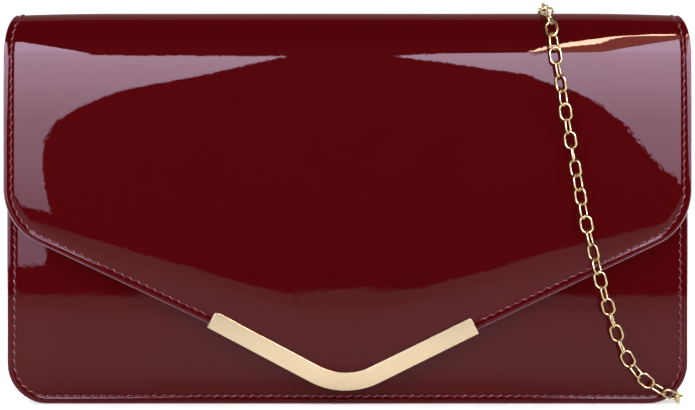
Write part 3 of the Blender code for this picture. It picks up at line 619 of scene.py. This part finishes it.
def loop_round(rows, top=False):
    """The line down the left side, along the bottom and up the right side."""
    left, right = row_sides(rows)
    line = left[::-1] + right
    return line + left[-1:] if top else line


BACK_ROWS = panel_rows(BACK_HALF, 0, FOLD_Z, CORNER_R, 0) + fold_rows(0, 60)[1:]
FLAP_ROWS = fold_rows(120, 180)[:-1] + flap_rows()
FRONT_ROWS = panel_rows(FRONT_HALF, 0, MOUTH_Z, CORNER_R, 8.0)
TRIM_LEFT_X, TRIM_RIGHT_X = -54.5, 51.0


def beside_trim(x, t):
    return not (TRIM_LEFT_X - 0.5 < x < TRIM_RIGHT_X + 0.5 and t > T_FRONT + 60)


thread_back = stitching("thread_back", [loop_round(BACK_ROWS)], skin_place, -1)
thread_fold = stitching("thread_fold", row_sides(fold_rows(60, 120)), skin_place, -1)
thread_flap = stitching("thread_flap", row_sides(FLAP_ROWS), skin_place, -1, beside_trim)
thread_front = stitching("thread_front", [loop_round(FRONT_ROWS, True)], front_place)
across_hinge(thread_back)
across_hinge(thread_fold)
across_hinge(thread_flap)
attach(thread_front, "front")

# ---------------------------------------------------------------- linings and boards
ALL_CLOTH = [LINING_CLOTH, LINING_CLOTH, LINING_CLOTH]
ALL_BOARD = [BOARD_GREY, BOARD_GREY, BOARD_GREY]
BOARD, LINING, GAP = 0.8, 0.45, 0.3
FOLD_LINING_DEEP, FLAP_LINING_DEEP = SKIN + GAP, SKIN + 2 * GAP + BOARD


def drawn_in(rows, inset):
    """The same rows, this much smaller all round."""
    return [
        (r[0] + r[2] * inset, r[1] + r[3] * inset, *r[2:4], r[4] + r[6] * inset, r[5] + r[7] * inset, *r[6:])
        for r in rows
    ]


def deeper(place, depth):
    return lambda x, t, d: place(x, t, depth + d)


def lining_place(x, t, depth):
    """Beside the skin over the fold, and beside the board below it."""
    share = smooth_step((t - T_FRONT - 1.1) / 2.5)
    return skin_place(x, t, depth + FOLD_LINING_DEEP + (FLAP_LINING_DEEP - FOLD_LINING_DEEP) * share)


def soft_sheet(name, rows, place, thick, looks, body, node, flip=1, caps=(True, True)):
    made = slab(name, rows, place, thick, 20, caps, looks, False, flip)
    if body:
        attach(made, body)
    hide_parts(node)
    return made


flap_lining = soft_sheet("flap_cloth", drawn_in(fold_rows(120, 180)[:-1] + flap_rows(), 0.7), lining_place,
    LINING,
                         ALL_CLOTH, None, "flap_lining", -1, (False, False))
fold_cloth = soft_sheet("fold_cloth", drawn_in(fold_rows(60, 120), 0.7), lining_place, LINING, ALL_CLOTH,
    None,
                        "fold_lining_back", -1, (False, False))
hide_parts("fold_lining_front")
facing = [side_row(fold_half(0) - 6.5, FOLD_Z - 9.0), side_row(fold_half(0) - 4.5, FOLD_Z - 4.0),
    *fold_rows(0, 60)]
back_facing = soft_sheet("facing_cloth", drawn_in(facing, 0.7), deeper(skin_place, FOLD_LINING_DEEP),
    LINING, ALL_CLOTH,
                         None, "back_facing", -1, (True, False))
across_hinge(flap_lining)
across_hinge(fold_cloth)
across_hinge(back_facing)
soft_sheet("flap_stiffener", drawn_in(flap_rows(132.0), 6.5), deeper(skin_place, SKIN + GAP), BOARD,
    ALL_BOARD,
           "flap", "flap_board", -1, (True, False))
BOUND_BOARD = [BOARD_GREY, LINING_CLOTH, BOARD_GREY]
INNER_ROWS = panel_rows(127.0, 7.0, 131.0, 9.0, 6.0)
soft_sheet("front_stiffener", panel_rows(127.0, 7.0, 128.0, 9.0, 6.0), deeper(front_place, SKIN + GAP),
    BOARD, ALL_BOARD,
           "front", "front_board")
soft_sheet("front_cloth", INNER_ROWS, deeper(front_place, FLAP_LINING_DEEP), LINING, ALL_CLOTH, "front",
    "front_lining")
soft_sheet("back_stiffener", panel_rows(127.0, 7.0, 127.5, 9.0, 0.0), deeper(skin_place, SKIN + GAP),
    BOARD, BOUND_BOARD,
           "shell", "back_board", -1)

# ---------------------------------------------------------------- gussets and base
WEB_IN, CREASE = 4.0, 7.0
WEB_FRONT, WEB_BACK = -7.2, 14.3
WEB_MID = 3.55
GUSSET_TOP, GUSSET_END = 127.0, 117.7
CREASE_LOW, CREASE_HIGH = 12.0, 108.0


def gusset_line(share, inward):
    """The folded strip's section as (inward, y) points, with a soft crease."""
    reach = WEB_IN + inward
    knots = [(0.7, WEB_FRONT), (reach - 0.5, WEB_FRONT + 0.1), (reach, WEB_FRONT + 0.7)]
    if inward:
        knots = [(reach, WEB_FRONT + 2.3)]
    ends = [(u, 2 * WEB_MID - y) for u, y in reversed(knots)]
    deep = reach + CREASE * share
    bends = [
        (reach + (deep - reach) * 0.5, WEB_MID - 8.2), (deep - 1.2 * share, WEB_MID - 4.0), (deep, WEB_MID)
    ]
    back = [(u, 2 * WEB_MID - y) for u, y in reversed(bends[:-1])]
    return [Vector(p) for p in knots + bends + back + ends]


def gusset(name, side, inward, thick, z_top, looks):
    """A folded side strip that runs down the side and round the bottom corner."""
    stations = [(BACK_HALF, z_top - (z_top - CORNER_R) * k / 20, -1.0, 0.0) for k in range(21)]
    centre = BACK_HALF - CORNER_R
    last = math.acos((GUSSET_END - centre) / CORNER_R)
    for k in range(1, 9):
        cos, sin = math.cos(last * k / 8), math.sin(last * k / 8)
        stations.append((centre + CORNER_R * cos, CORNER_R - CORNER_R * sin, -cos, sin))
    points, faces = [], []
    for x, z, nx, nz in stations:
        share = smooth_step((z - CREASE_LOW) / (CREASE_HIGH - CREASE_LOW))
        line = gusset_line(share, inward)
        loop = []
        for k, here in enumerate(line):
            along = (line[min(k + 1, len(line) - 1)] - line[max(k - 1, 0)]).normalized()
            loop.append((here, Vector((-along.y, along.x)) * thick / 2))
        ring = [here + off for here, off in loop] + [here - off for here, off in reversed(loop)]
        ripple = 0.12 * noise.noise(Vector((z / 14, side, 4.4)))
        points += [(side * (x + (u + ripple) * nx), y, z + (u + ripple) * nz) for u, y in ring]
    size = len(points) // len(stations)
    for k in range(len(stations) - 1):
        for j in range(size):
            a, b, n = k * size, (k + 1) * size, (j + 1) % size
            faces.append((a + j, b + j, b + n, a + n)[::side])
    faces += [tuple(range(size))[::side], tuple(range(len(points) - size, len(points)))[::-side]]
    made = mesh_object(name, points, faces, looks)
    soften(made, 0.15, 2, 50)
    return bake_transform(made)


def boxed(name, low, high, look, body, node, round_by=0.15):
    """A soft-edged box that stands for a CAD node."""
    (x0, y0, z0), (x1, y1, z1) = low, high
    corners = [(x, y, z) for z in (z0, z1) for x, y in ((x0, y0), (x1, y0), (x1, y1), (x0, y1))]
    faces = [(3, 2, 1, 0), (4, 5, 6, 7), (0, 1, 5, 4), (1, 2, 6, 5), (2, 3, 7, 6), (3, 0, 4, 7)]
    made = soften(mesh_object(name, corners, faces, [look]), round_by)
    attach(made, body)
    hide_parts(node)
    return made


def base_strip():
    """The bottom leather: a shallow trough whose sides turn up between the panels."""
    y0, y1, top, thick, turn_r = WEB_FRONT - 0.4, WEB_BACK + 0.4, 4.6, 0.9, 1.6
    section = []
    for grow, order in ((0.0, 1), (thick, -1)):
        half = [(y0 + grow, top)]
        for k in range(7):
            turn = math.radians(90 * k / 6)
            r = turn_r - grow
            half.append((y0 + turn_r - r * math.cos(turn), 0.05 + turn_r - r * math.sin(turn)))
        whole = half + [(y0 + y1 - y, z) for y, z in reversed(half)]
        section += whole[::order]
    count = 24
    points, faces, size = [], [], len(section)
    for k in range(count + 1):
        x = -116.9 + 233.8 * k / count
        sag = 0.05 * noise.noise(Vector((x / 30, 1.1, 7.7)))
        points += [(x, y, max(0.02, z + sag)) for y, z in section]
    for k in range(count):
        for j in range(size):
            a, b, n = k * size, (k + 1) * size, (j + 1) % size
            faces.append((a + j, a + n, b + n, b + j))
    faces += [tuple(range(size))[::-1], tuple(range(len(points) - size, len(points)))]
    return mesh_object("base_leather", points, faces, [PATENT])


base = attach(soften(base_strip(), 0.15, 2, 50), "shell")
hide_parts("gusset_base")
for word, side in (("left", -1), ("right", 1)):
    strip = gusset(f"gusset_leather_{word}", side, 0.0, 0.8, GUSSET_TOP, [PATENT])
    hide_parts(f"gusset_{word}")
    cloth = gusset(f"gusset_cloth_{word}", side, 1.15, 0.4, GUSSET_TOP - 1, [LINING_CLOTH])
    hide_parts(f"gusset_lining_{word}")
boxed("base_cloth", (-114, -5.8, 2.2), (114, 12.9, 2.75), LINING_CLOTH, "shell", "base_lining")

# ---------------------------------------------------------------- tabs and D-rings
RING_X, RING_Z, RING_HALF = 127.8, 113.5, 6.3
TAB_WIDE, TAB_THICK = 4.4, 0.85


def tube(name, points, radius, look, closed=True, sides=16):
    """A round wire through points."""
    made, faces = [], []
    points = [Vector(p) for p in points]
    count = len(points)
    up = Vector((1, 0, 0))
    for k, here in enumerate(points):
        ahead = points[(k + 1) % count] if closed or k < count - 1 else here
        behind = points[k - 1] if closed or k else here
        along = (ahead - behind).normalized()
        up = (up - along * up.dot(along)).normalized()
        side = along.cross(up)
        for j in range(sides):
            turn = 2 * math.pi * j / sides
            made.append(here + (up * math.cos(turn) + side * math.sin(turn)) * radius)
    for k in range(count if closed else count - 1):
        for j in range(sides):
            a, b, n = k * sides, (k + 1) % count * sides, (j + 1) % sides
            faces.append((a + j, a + n, b + n, b + j))
    if not closed:
        faces += [tuple(range(sides))[::-1], tuple(range(len(made) - sides, len(made)))]
    return mesh_object(name, made, faces, [look])


def ring_points(side):
    corner = 1.3
    line = []
    for sign in (-1, 1):
        turns = range(7) if sign < 0 else range(6, -1, -1)
        for k in turns:
            turn = math.radians(90 * k / 6)
            y = sign * (RING_HALF - corner + corner * math.cos(turn))
            line.append((side * RING_X, WEB_MID + y, RING_Z - corner + corner * math.sin(turn)))
    for k in range(1, 24):
        turn = -math.pi * k / 24
        y, z = RING_HALF * math.cos(turn), RING_HALF * math.sin(turn)
        line.append((side * RING_X, WEB_MID + y, RING_Z - 1.2 + z))
    return line


def tab_leather(name, side):
    """One strap folded round the D-ring's bar."""
    line = [(0.62, 126.5 - k * (126.5 - RING_Z - 4.4) / 6) for k in range(7)]
    for k in range(15):
        turn = math.radians(62 - 304 * k / 14)
        line.append((1.58 * math.cos(turn), RING_Z + 1.58 * math.sin(turn)))
    line += [(-0.62, z) for _, z in reversed(line[:7])]
    points, faces = [], []
    for k, (u, z) in enumerate(line):
        ahead, behind = line[min(k + 1, len(line) - 1)], line[max(k - 1, 0)]
        along = Vector((ahead[0] - behind[0], ahead[1] - behind[1])).normalized()
        off = Vector((-along.y, along.x)) * TAB_THICK / 2
        for y, sign in ((-TAB_WIDE, -1), (-TAB_WIDE, 1), (TAB_WIDE, 1), (TAB_WIDE, -1)):
            points.append((side * (RING_X + u + off.x * sign), WEB_MID + y, z + off.y * sign))
    for k in range(len(line) - 1):
        for j in range(4):
            a, b, n = k * 4, (k + 1) * 4, (j + 1) % 4
            faces.append((a + j, a + n, b + n, b + j)[::side])
    faces += [(0, 1, 2, 3)[::-side], tuple(range(len(points) - 4, len(points)))[::side]]
    return soften(mesh_object(name, points, faces, [PATENT]), 0.22, 3, 50)


for word, side in (("left", -1), ("right", 1)):
    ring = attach(tube(f"d_ring_wire_{word}", ring_points(side), 0.8, GOLD), f"ring_{word}")
    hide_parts(f"d_ring_{word}")
    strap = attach(tab_leather(f"tab_leather_{word}", side), "shell")
    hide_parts(f"tab_{word}")

# ---------------------------------------------------------------- the zip pocket
ZIP_Z, ZIP_HALF, ZIP_Y = 100.0, 77.5, 11.0
WINDOW_HALF, WINDOW_SIDE = 81.0, 4.5
BACK_CLOTH_Y = 11.15


def cloth_with_window():
    """The back lining, with the pocket's slot cut in it and its edge turned in."""
    outline = [(r[0], r[1]) for r in panel_rows(125.8, 7.0, 127.5, 9.0, 0.0)]
    outline += [(-x, z) for x, z in reversed(outline)]
    slot = [(-WINDOW_HALF, ZIP_Z - WINDOW_SIDE), (-WINDOW_HALF, ZIP_Z + WINDOW_SIDE),
            (WINDOW_HALF, ZIP_Z + WINDOW_SIDE), (WINDOW_HALF, ZIP_Z - WINDOW_SIDE)]
    built = bmesh.new()
    for loop in (outline, slot):
        verts = [built.verts.new(Vector((x, BACK_CLOTH_Y, z)) * MM) for x, z in loop]
        for a, b in zip(verts, verts[1:] + verts[:1]):
            built.edges.new((a, b))
    bmesh.ops.triangle_fill(built, edges=built.edges, use_beauty=True, normal=(0, -1, 0))
    faces = bmesh.ops.extrude_face_region(built, geom=list(built.faces))["geom"]
    bmesh.ops.translate(
        built, vec=(0, LINING * MM, 0), verts=[v for v in faces if isinstance(v, bmesh.types.BMVert)]
    )
    bmesh.ops.recalc_face_normals(built, faces=built.faces)
    section = [(BACK_CLOTH_Y, 127.6), (BACK_CLOTH_Y, 128.3), (11.5, 129.0), (12.2, 129.4), (14.3, 129.5)]
    section += [(14.3, 129.05), (12.4, 128.95), (11.85, 128.65), (11.6, 128.2), (11.6, 127.6)]
    rings = [[built.verts.new(Vector((x, y, z)) * MM) for y, z in section] for x in (-125.6, 125.6)]
    for k in range(len(section)):
        n = (k + 1) % len(section)
        built.faces.new((rings[0][k], rings[0][n], rings[1][n], rings[1][k]))
    for ring in rings:
        built.faces.new(ring)
    bmesh.ops.recalc_face_normals(built, faces=built.faces)
    mesh = bpy.data.meshes.new("back_cloth")
    built.to_mesh(mesh)
    built.free()
    mesh.materials.append(LINING_CLOTH)
    made = bpy.data.objects.new("back_cloth", mesh)
    scene.collection.objects.link(made)
    return soften(made, 0.12, 2)


def coil(name, sign):
    """A zip coil: one fine wire wound along the slot's edge."""
    pitch, radius, steps = 1.5, 0.42, 8
    turns = int(2 * ZIP_HALF / pitch)
    line = []
    for k in range(turns * steps + 1):
        turn = 2 * math.pi * k / steps
        x = -ZIP_HALF + pitch * k / steps
        line.append((x, ZIP_Y + radius * math.cos(turn), ZIP_Z + sign * (1.3 + radius * math.sin(turn))))
    return tube(name, line, 0.2, TAPE_CLOTH, False, 5)


back_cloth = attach(cloth_with_window(), "shell")
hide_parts("back_lining")
for word, sign in (("upper", 1), ("lower", -1)):
    ends = sorted((ZIP_Z + sign * 0.9, ZIP_Z + sign * 12))
    boxed(f"tape_cloth_{word}", (-84, 12.0, ends[0]), (84, 12.3, ends[1]), TAPE_CLOTH, "shell",
        f"zip_tape_{word}",
          0.1)
    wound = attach(coil(f"coil_wire_{word}", sign), "shell")
    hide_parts(f"zip_coil_{word}")
boxed("pocket_cloth", (-84, 12.6, 25), (84, 14.2, 112), LINING_CLOTH, "shell", "pocket_bag", 0.4)
welt = [(-WINDOW_HALF - 1.6, ZIP_Z - 6.1), (WINDOW_HALF + 1.6, ZIP_Z - 6.1), (WINDOW_HALF + 1.6, ZIP_Z + 6.1),
        (-WINDOW_HALF - 1.6, ZIP_Z + 6.1), (-WINDOW_HALF - 1.6, ZIP_Z - 6.1)]
thread_zip = stitching("thread_zip", [welt], lambda x, t, d: Vector((x, BACK_CLOTH_Y + d, t)))
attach(thread_zip, "shell")

# ---------------------------------------------------------------- the V trim
TRIM_FACE_Y = FLAP_Y - 1.2
LIP_Y = FLAP_Y + FLAP_LINING_DEEP + LINING + GAP
TRIM_TOP, TRIM_ROUND = 5.9, 1.5
TRIM_SECTION = (
    (-1.2, TRIM_FACE_Y), (TRIM_TOP, TRIM_FACE_Y), (TRIM_TOP, TRIM_FACE_Y + 0.9), (-0.3, TRIM_FACE_Y + 0.9),
        (-0.3, LIP_Y),
    (4.2, LIP_Y), (4.2, LIP_Y + 0.6), (-1.2, LIP_Y + 0.6),
)


def trim_mesh():
    left, right = Vector((TRIM_LEFT_X, 31.6)), Vector((TRIM_RIGHT_X, 29.2))
    line = [left] + [p for p in FLAP_OUTLINE if left.x + 4 < p.x < right.x - 4] + [right]
    ends = [0.15, 0.4, 0.8, TRIM_ROUND]
    whole = line_length(line)
    near = [0.0] + ends + [whole - d for d in reversed(ends)] + [whole]
    gone = [line_length(line[: k + 1]) for k in range(len(line))]
    marks = sorted(near + [d for d in gone if TRIM_ROUND + 1 < d < whole - TRIM_ROUND - 1])
    line = at_lengths(line, marks)
    points, faces, size = [], [], len(TRIM_SECTION)
    for k, here in enumerate(line):
        along = (line[min(k + 1, len(line) - 1)] - line[max(k - 1, 0)]).normalized()
        off = max(0.0, TRIM_ROUND - min(marks[k], whole - marks[k]))
        top = TRIM_TOP - TRIM_ROUND + math.sqrt(TRIM_ROUND**2 - off**2)
        points += [
            (here.x - min(u, top) * along.y, y, here.y + min(u, top) * along.x) for u, y in TRIM_SECTION
        ]
    for k in range(len(line) - 1):
        for j in range(size):
            a, b, n = k * size, (k + 1) * size, (j + 1) % size
            faces.append((a + j, b + j, b + n, a + n))
    faces += [tuple(range(size)), tuple(range(len(points) - size, len(points)))[::-1]]
    return mesh_object("vee_trim_metal", points, faces, [TRIM_GOLD])


trim = soften(trim_mesh(), 0.22)
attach(trim, "flap")
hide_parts("vee_trim")

# ---------------------------------------------------------------- the chain strap
END_RIGHT = (
    (127.9, 8.0, 107.9),
    (129.8, 10.0, 106.5),
    (132.4, 10.6, 102.5),
    (134.9, 12.3, 98.5),
    (136.2, 15.6, 94.0),
    (135.2, 19.1, 89.5),
    (131.5, 20.5, 84.0),
)
END_LEFT = tuple((-x, y, z) for x, y, z in END_RIGHT)
RISER = (
    (131.0, 20.6, 83.2),
    (127.0, 20.8, 76.0),
    (124.0, 21.0, 60.0),
    (123.5, 21.0, 38.0),
    (125.5, 20.8, 20.0),
)
FRONT_RUN = (
    (125.6, 20.7, 19.4),
    (127.6, 20.6, 10.0),
    (129.6, 19.9, 5.0),
    (130.6, 16.0, 2.7),
    (130.6, 6.0, 2.6),
    (130.6, -7.5, 2.6),
    (130.0, -11.2, 2.9),
    (127.0, -12.9, 4.0),
    (121.5, -13.0, 6.6),
    (114.5, -13.0, 12.0),
    (108.4, -13.2, 21.5),
    (103.6, -15.2, 34.5),
    (99.9, -17.7, 46.0),
    (96.2, -18.2, 60.0),
    (92.6, -18.1, 75.0),
    (89.6, -18.1, 91.0),
    (86.2, -18.1, 110.0),
    (83.4, -18.1, 127.0),
    (81.5, -18.1, 137.0),
    (80.2, -15.6, 147.4),
    (79.2, -8.8, 154.3),
    (78.3, 0.6, 156.8),
    (77.9, 10.0, 154.3),
    (77.7, 16.8, 147.4),
    (77.6, 19.3, 137.0),
    (77.5, 19.4, 126.0),
)
BACK_RUN = (
    (77.5, 19.45, 125.4),
    (77.3, 19.6, 100.0),
    (77.0, 20.0, 70.0),
    (76.0, 21.2, 42.0),
    (73.0, 25.0, 20.0),
    (66.0, 32.5, 6.5),
    (54.0, 38.4, 3.2),
    (40.0, 40.0, 3.0),
    (15.0, 39.9, 3.4),
    (-10.0, 39.9, 3.4),
    (-50.0, 40.0, 3.0),
    (-80.0, 40.0, 2.8),
    (-84.1, 35.9, 2.8),
    (-80.0, 31.8, 2.8),
    (-50.0, 31.9, 3.0),
    (-10.0, 31.9, 3.4),
    (15.0, 31.9, 3.4),
    (40.0, 31.8, 2.8),
    (44.1, 27.7, 2.8),
    (40.0, 23.6, 2.8),
    (15.0, 23.8, 3.4),
    (-10.0, 23.8, 3.4),
    (-50.0, 23.8, 2.9),
    (-90.0, 24.0, 2.8),
    (-110.0, 24.2, 3.4),
    (-120.0, 23.0, 9.0),
    (-123.5, 21.6, 22.0),
    (-124.5, 21.0, 42.0),
    (-124.5, 21.0, 62.0),
    (-127.4, 20.8, 76.0),
    (-131.0, 20.6, 83.2),
)
LINK_LONG, LINK_WIDE, LINK_WIRE = 7.5, 5.4, 0.95
LINK_PITCH = 5.6
LINK_TURN = 92.0


def link_mesh(centre, along, turned, points, faces, major=20, minor=8):
    """Adds one oval link, long along its first axis and wide along its second."""
    side = along.cross(turned).normalized()
    turned = side.cross(along).normalized()
    half_long, half_wide = LINK_LONG / 2 - LINK_WIRE / 2, LINK_WIDE / 2 - LINK_WIRE / 2
    straight = half_long - half_wide
    start = len(points)
    for i in range(major):
        a = 2 * math.pi * i / major
        cos, sin = math.cos(a), math.sin(a)
        core = along * (math.copysign(straight, cos) + half_wide * cos) + turned * half_wide * sin
        out = along * cos + turned * sin
        for j in range(minor):
            b = 2 * math.pi * (j + 0.5) / minor
            points.append(centre + core + (out * math.cos(b) + side * math.sin(b)) * LINK_WIRE / 2)
    for i in range(major):
        for j in range(minor):
            a, b = start + i * minor, start + (i + 1) % major * minor
            k = (j + 1) % minor
            faces.append((a + j, a + k, b + k, b + j))


CHAIN_PIECES = (
    ("chain_end_right", END_RIGHT),
    ("chain_riser", RISER),
    ("chain_front", FRONT_RUN),
    ("chain_back", BACK_RUN),
    ("chain_end_left", END_LEFT[::-1]),
)


def build_chain():
    """Real links along the whole route, cut into its pieces: {name: (object, points, length)}."""
    lines = {name: smooth_line(knots) for name, knots in CHAIN_PIECES}
    whole, stops = [], []
    for name, _ in CHAIN_PIECES:
        whole += lines[name]
        stops.append(line_length(whole))
    count = round((stops[-1] - 1.0) / LINK_PITCH)
    pitch = stops[-1] / count
    marks = at_lengths(whole, [pitch * k / 4 for k in range(4 * count + 1)])
    up = Vector((1, 0, 0))
    made, number = {}, 0
    points, faces, first = [], [], 0
    for k in range(count):
        centre = (marks[4 * k + 1] + marks[4 * k + 3]) / 2
        along = (marks[4 * k + 4] - marks[4 * k]).normalized()
        up = (up - along * up.dot(along)).normalized()
        sway = 34 * noise.noise(Vector((k * 0.73, 3.1, 0.4)))
        turn = math.radians((LINK_TURN if k % 2 else LINK_TURN - 88) + sway)
        link_mesh(centre, along, Matrix.Rotation(turn, 3, along) @ up, points, faces)
        if pitch * (k + 1) > stops[number] - pitch / 2 or k == count - 1:
            name = CHAIN_PIECES[number][0]
            obj = mesh_object(name + "_links", points, faces, [CHAIN_GOLD])
            path = marks[4 * first : 4 * k + 5]
            made[name] = (obj, path, line_length(path))
            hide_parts(name)
            points, faces, first = [], [], k + 1
            number = min(number + 1, len(CHAIN_PIECES) - 1)
    return made


TIE_X, TIE_Y, TIE_Z = (1.0, 6.0), (20.6, 43.2), (0.15, 6.6)
TIE_CORNER, TIE_WALL = 2.75, 0.35
TIE_WAIST = 0.12  # how much the band narrows towards its edges


def tie_band():
    """A soft band looped round the folded chain, waisted a little at its edges."""
    (y0, y1), (z0, z1), corner = TIE_Y, TIE_Z, TIE_CORNER
    loop = []
    for (cy, cz), start in (
        ((y1 - corner, z1 - corner), 0), ((y0 + corner, z1 - corner), 90),
        ((y0 + corner, z0 + corner), 180), ((y1 - corner, z0 + corner), 270),
    ):
        for k in range(9):
            turn = math.radians(start + 90 * k / 8)
            loop.append((cy, cz, math.cos(turn), math.sin(turn)))
    width = TIE_X[1] - TIE_X[0]
    stations = [(TIE_X[0] + width * k / 10, TIE_WAIST * (k / 5 - 1) ** 2) for k in range(11)]
    section = [(x, drop) for x, drop in stations] + [(x, TIE_WALL) for x, _ in reversed(stations)]
    points, faces, size = [], [], len(section)
    for cy, cz, cos, sin in loop:
        points += [(x, cy + cos * (corner - deep), cz + sin * (corner - deep)) for x, deep in section]
    for k in range(len(loop)):
        for j in range(size):
            a, b, n = k * size, (k + 1) % len(loop) * size, (j + 1) % size
            faces.append((a + j, b + j, b + n, a + n))
    return mesh_object("tie_band", points, faces, [TAPE_CLOTH])


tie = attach(tie_band(), "shell")
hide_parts("chain_tie")
chain = build_chain()
SIDE_SPLIT_TOP, SIDE_SPLIT_LOW = (0.1290, 0.0095, 0.1065), (0.1330, 0.0195, 0.0880)
for word, sign in (("right", 1), ("left", -1)):
    ends = [Vector((sign * x, y, z)) for x, y, z in (SIDE_SPLIT_LOW, SIDE_SPLIT_TOP)]
    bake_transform(chain[f"chain_end_{word}"][0])
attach(chain["chain_riser"][0], "shell")
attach(chain["chain_back"][0], "shell")
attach(chain["chain_front"][0], "shell")
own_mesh(chain["chain_front"][0])


# ---------------------------------------------------------------- stage and light
def card(name, centre, size, facing, look, seen=True):
    """A flat stage card of this width and height whose front looks along facing."""
    half_w, half_h = size[0] / 2, size[1] / 2
    corners = [(-half_w, -half_h, 0), (half_w, -half_h, 0), (half_w, half_h, 0), (-half_w, half_h, 0)]
    made = mesh_object(name, corners, [(0, 1, 2, 3)], [look], False)
    made.location = Vector(centre) * MM
    made.rotation_euler = Vector(facing).to_track_quat("Z", "Y").to_euler()
    made.visible_camera = made.visible_diffuse = made.visible_shadow = seen
    return made


def emitter(name, outline, y, colour, strength):
    """A glowing pane in the plane at y. It shows in the gloss only, and lights nothing."""
    made = bpy.data.materials.new(name)
    made.use_nodes = True
    tree = made.node_tree
    tree.nodes.remove(tree.nodes["Principled BSDF"])
    glow = tree.nodes.new("ShaderNodeEmission")
    glow.inputs["Color"].default_value = (*colour, 1)
    where = tree.nodes.new("ShaderNodeTexCoord")
    split = tree.nodes.new("ShaderNodeSeparateXYZ")
    fade = tree.nodes.new("ShaderNodeMapRange")
    fade.inputs["From Min"].default_value, fade.inputs["From Max"].default_value = 0.05, 0.45
    fade.inputs["To Min"].default_value, fade.inputs["To Max"].default_value = strength * 0.27, strength
    tree.links.new(where.outputs["Object"], split.inputs["Vector"])
    tree.links.new(split.outputs["Z"], fade.inputs["Value"])
    tree.links.new(fade.outputs["Result"], glow.inputs["Strength"])
    tree.links.new(glow.outputs["Emission"], tree.nodes["Material Output"].inputs["Surface"])
    pane = mesh_object(name, [(x, y, z) for x, z in outline], [tuple(range(len(outline)))], [made], False)
    pane.visible_camera = False
    pane.visible_diffuse = False
    return pane


def softbox(name, centre, target, size, power):
    """A soft white area light of this width and height, in millimetres."""
    data = bpy.data.lights.new(name, "AREA")
    data.shape = "RECTANGLE"
    data.size, data.size_y = size[0] * MM, size[1] * MM
    data.energy = power
    made = bpy.data.objects.new(name, data)
    made.location = Vector(centre) * MM
    made.rotation_euler = (Vector(target) - Vector(centre)).to_track_quat("-Z", "Y").to_euler()
    scene.collection.objects.link(made)
    return made


FLOOR_FRONT, FLOOR_BACK = -1430.0, 2600.0
card("floor", (0, (FLOOR_FRONT + FLOOR_BACK) / 2, 0), (6000, FLOOR_BACK - FLOOR_FRONT), (0, 0, 1), FLOOR)
card("dark_front", (0, FLOOR_FRONT, 900), (3400, 1800), (0, 1, 0), BLACK, seen=False)
card("dark_above", (0, -450, 1800), (3400, 1960), (0, 0, -1), BLACK, seen=False)
SOFT_Y = -1080.0
WINDOW_LIGHT = (0.97, 0.76, 1.0)
LEFT_WINDOW = ((-50, 345), (-224, 352), (-380, 900), (-540, 900), (-540, 40), (-300, 40), (-300, 131))
RIGHT_WINDOW = ((38, 345), (148, 285), (244, 150), (371, 78), (540, 78), (540, 1100), (420, 1100), (222, 400))
WARM_STRIP = (  # x, z and half its height
    (150, 400, 19), (168, 560, 50), (200, 740, 90), (225, 850, 120), (252, 1000, 90), (285, 1180, 60),
    (325, 1330, 40),
    (370, 1430, 40), (420, 1540, 100), (520, 1700, 50),
)
WARM_GLOW = ((150, 346), (222, 402), (420, 1102), (1000, 1102), (1000, 1790), (420, 1650), (285, 1290),
    (200, 740))
emitter("window_left", LEFT_WINDOW[::-1], SOFT_Y, WINDOW_LIGHT, 39.0)
emitter("window_right", RIGHT_WINDOW, SOFT_Y, WINDOW_LIGHT, 39.0)
strip = [(x, z + tall) for x, z, tall in WARM_STRIP] + [(x, z - tall) for x, z, tall in reversed(WARM_STRIP)]
emitter("warm_strip", strip, SOFT_Y + 20, (1.0, 0.66, 0.46), 130.0)
emitter("warm_glow", WARM_GLOW, SOFT_Y, (1.0, 0.32, 0.24), 11.5)
card("dark_left", (-1700, (FLOOR_FRONT - 300) / 2, 900), (1130, 1800), (1, 0, 0), BLACK, seen=False)
card("dark_right", (1700, (FLOOR_FRONT - 300) / 2, 900), (1130, 1800), (-1, 0, 0), BLACK, seen=False)
softbox("back_light", (0, 900, 1300), (0, 0, 0), (2400, 700), 45.0).visible_glossy = False
softbox("front_light", (0, -1000, 1000), (0, 0, 30), (1600, 500), 3.0).visible_glossy = False

world = bpy.data.worlds.new("studio")
world.use_nodes = True
world.node_tree.nodes["Background"].inputs["Color"].default_value = (1, 1, 1, 1)
world.node_tree.nodes["Background"].inputs["Strength"].default_value = 1.1
scene.world = world

# ---------------------------------------------------------------- CAD pieces that stay
FINISH = {
    "gold": GOLD, "patent": PATENT, "chain": CHAIN_GOLD, "board": BOARD_GREY, "lining": LINING_CLOTH,
    "tape": TAPE_CLOTH, "magnet": MAGNET,
}
for name, node in nodes.items():
    look = BOARD_GREY
    for slot in node.material_slots:
        for word, finish in FINISH.items():
            if slot.material and word in slot.material.name:
                look = finish
    node.data.materials.clear()
    node.data.materials.append(look)
    if look is GOLD and not node.hide_render:
        soften(node, 0.15, 2)
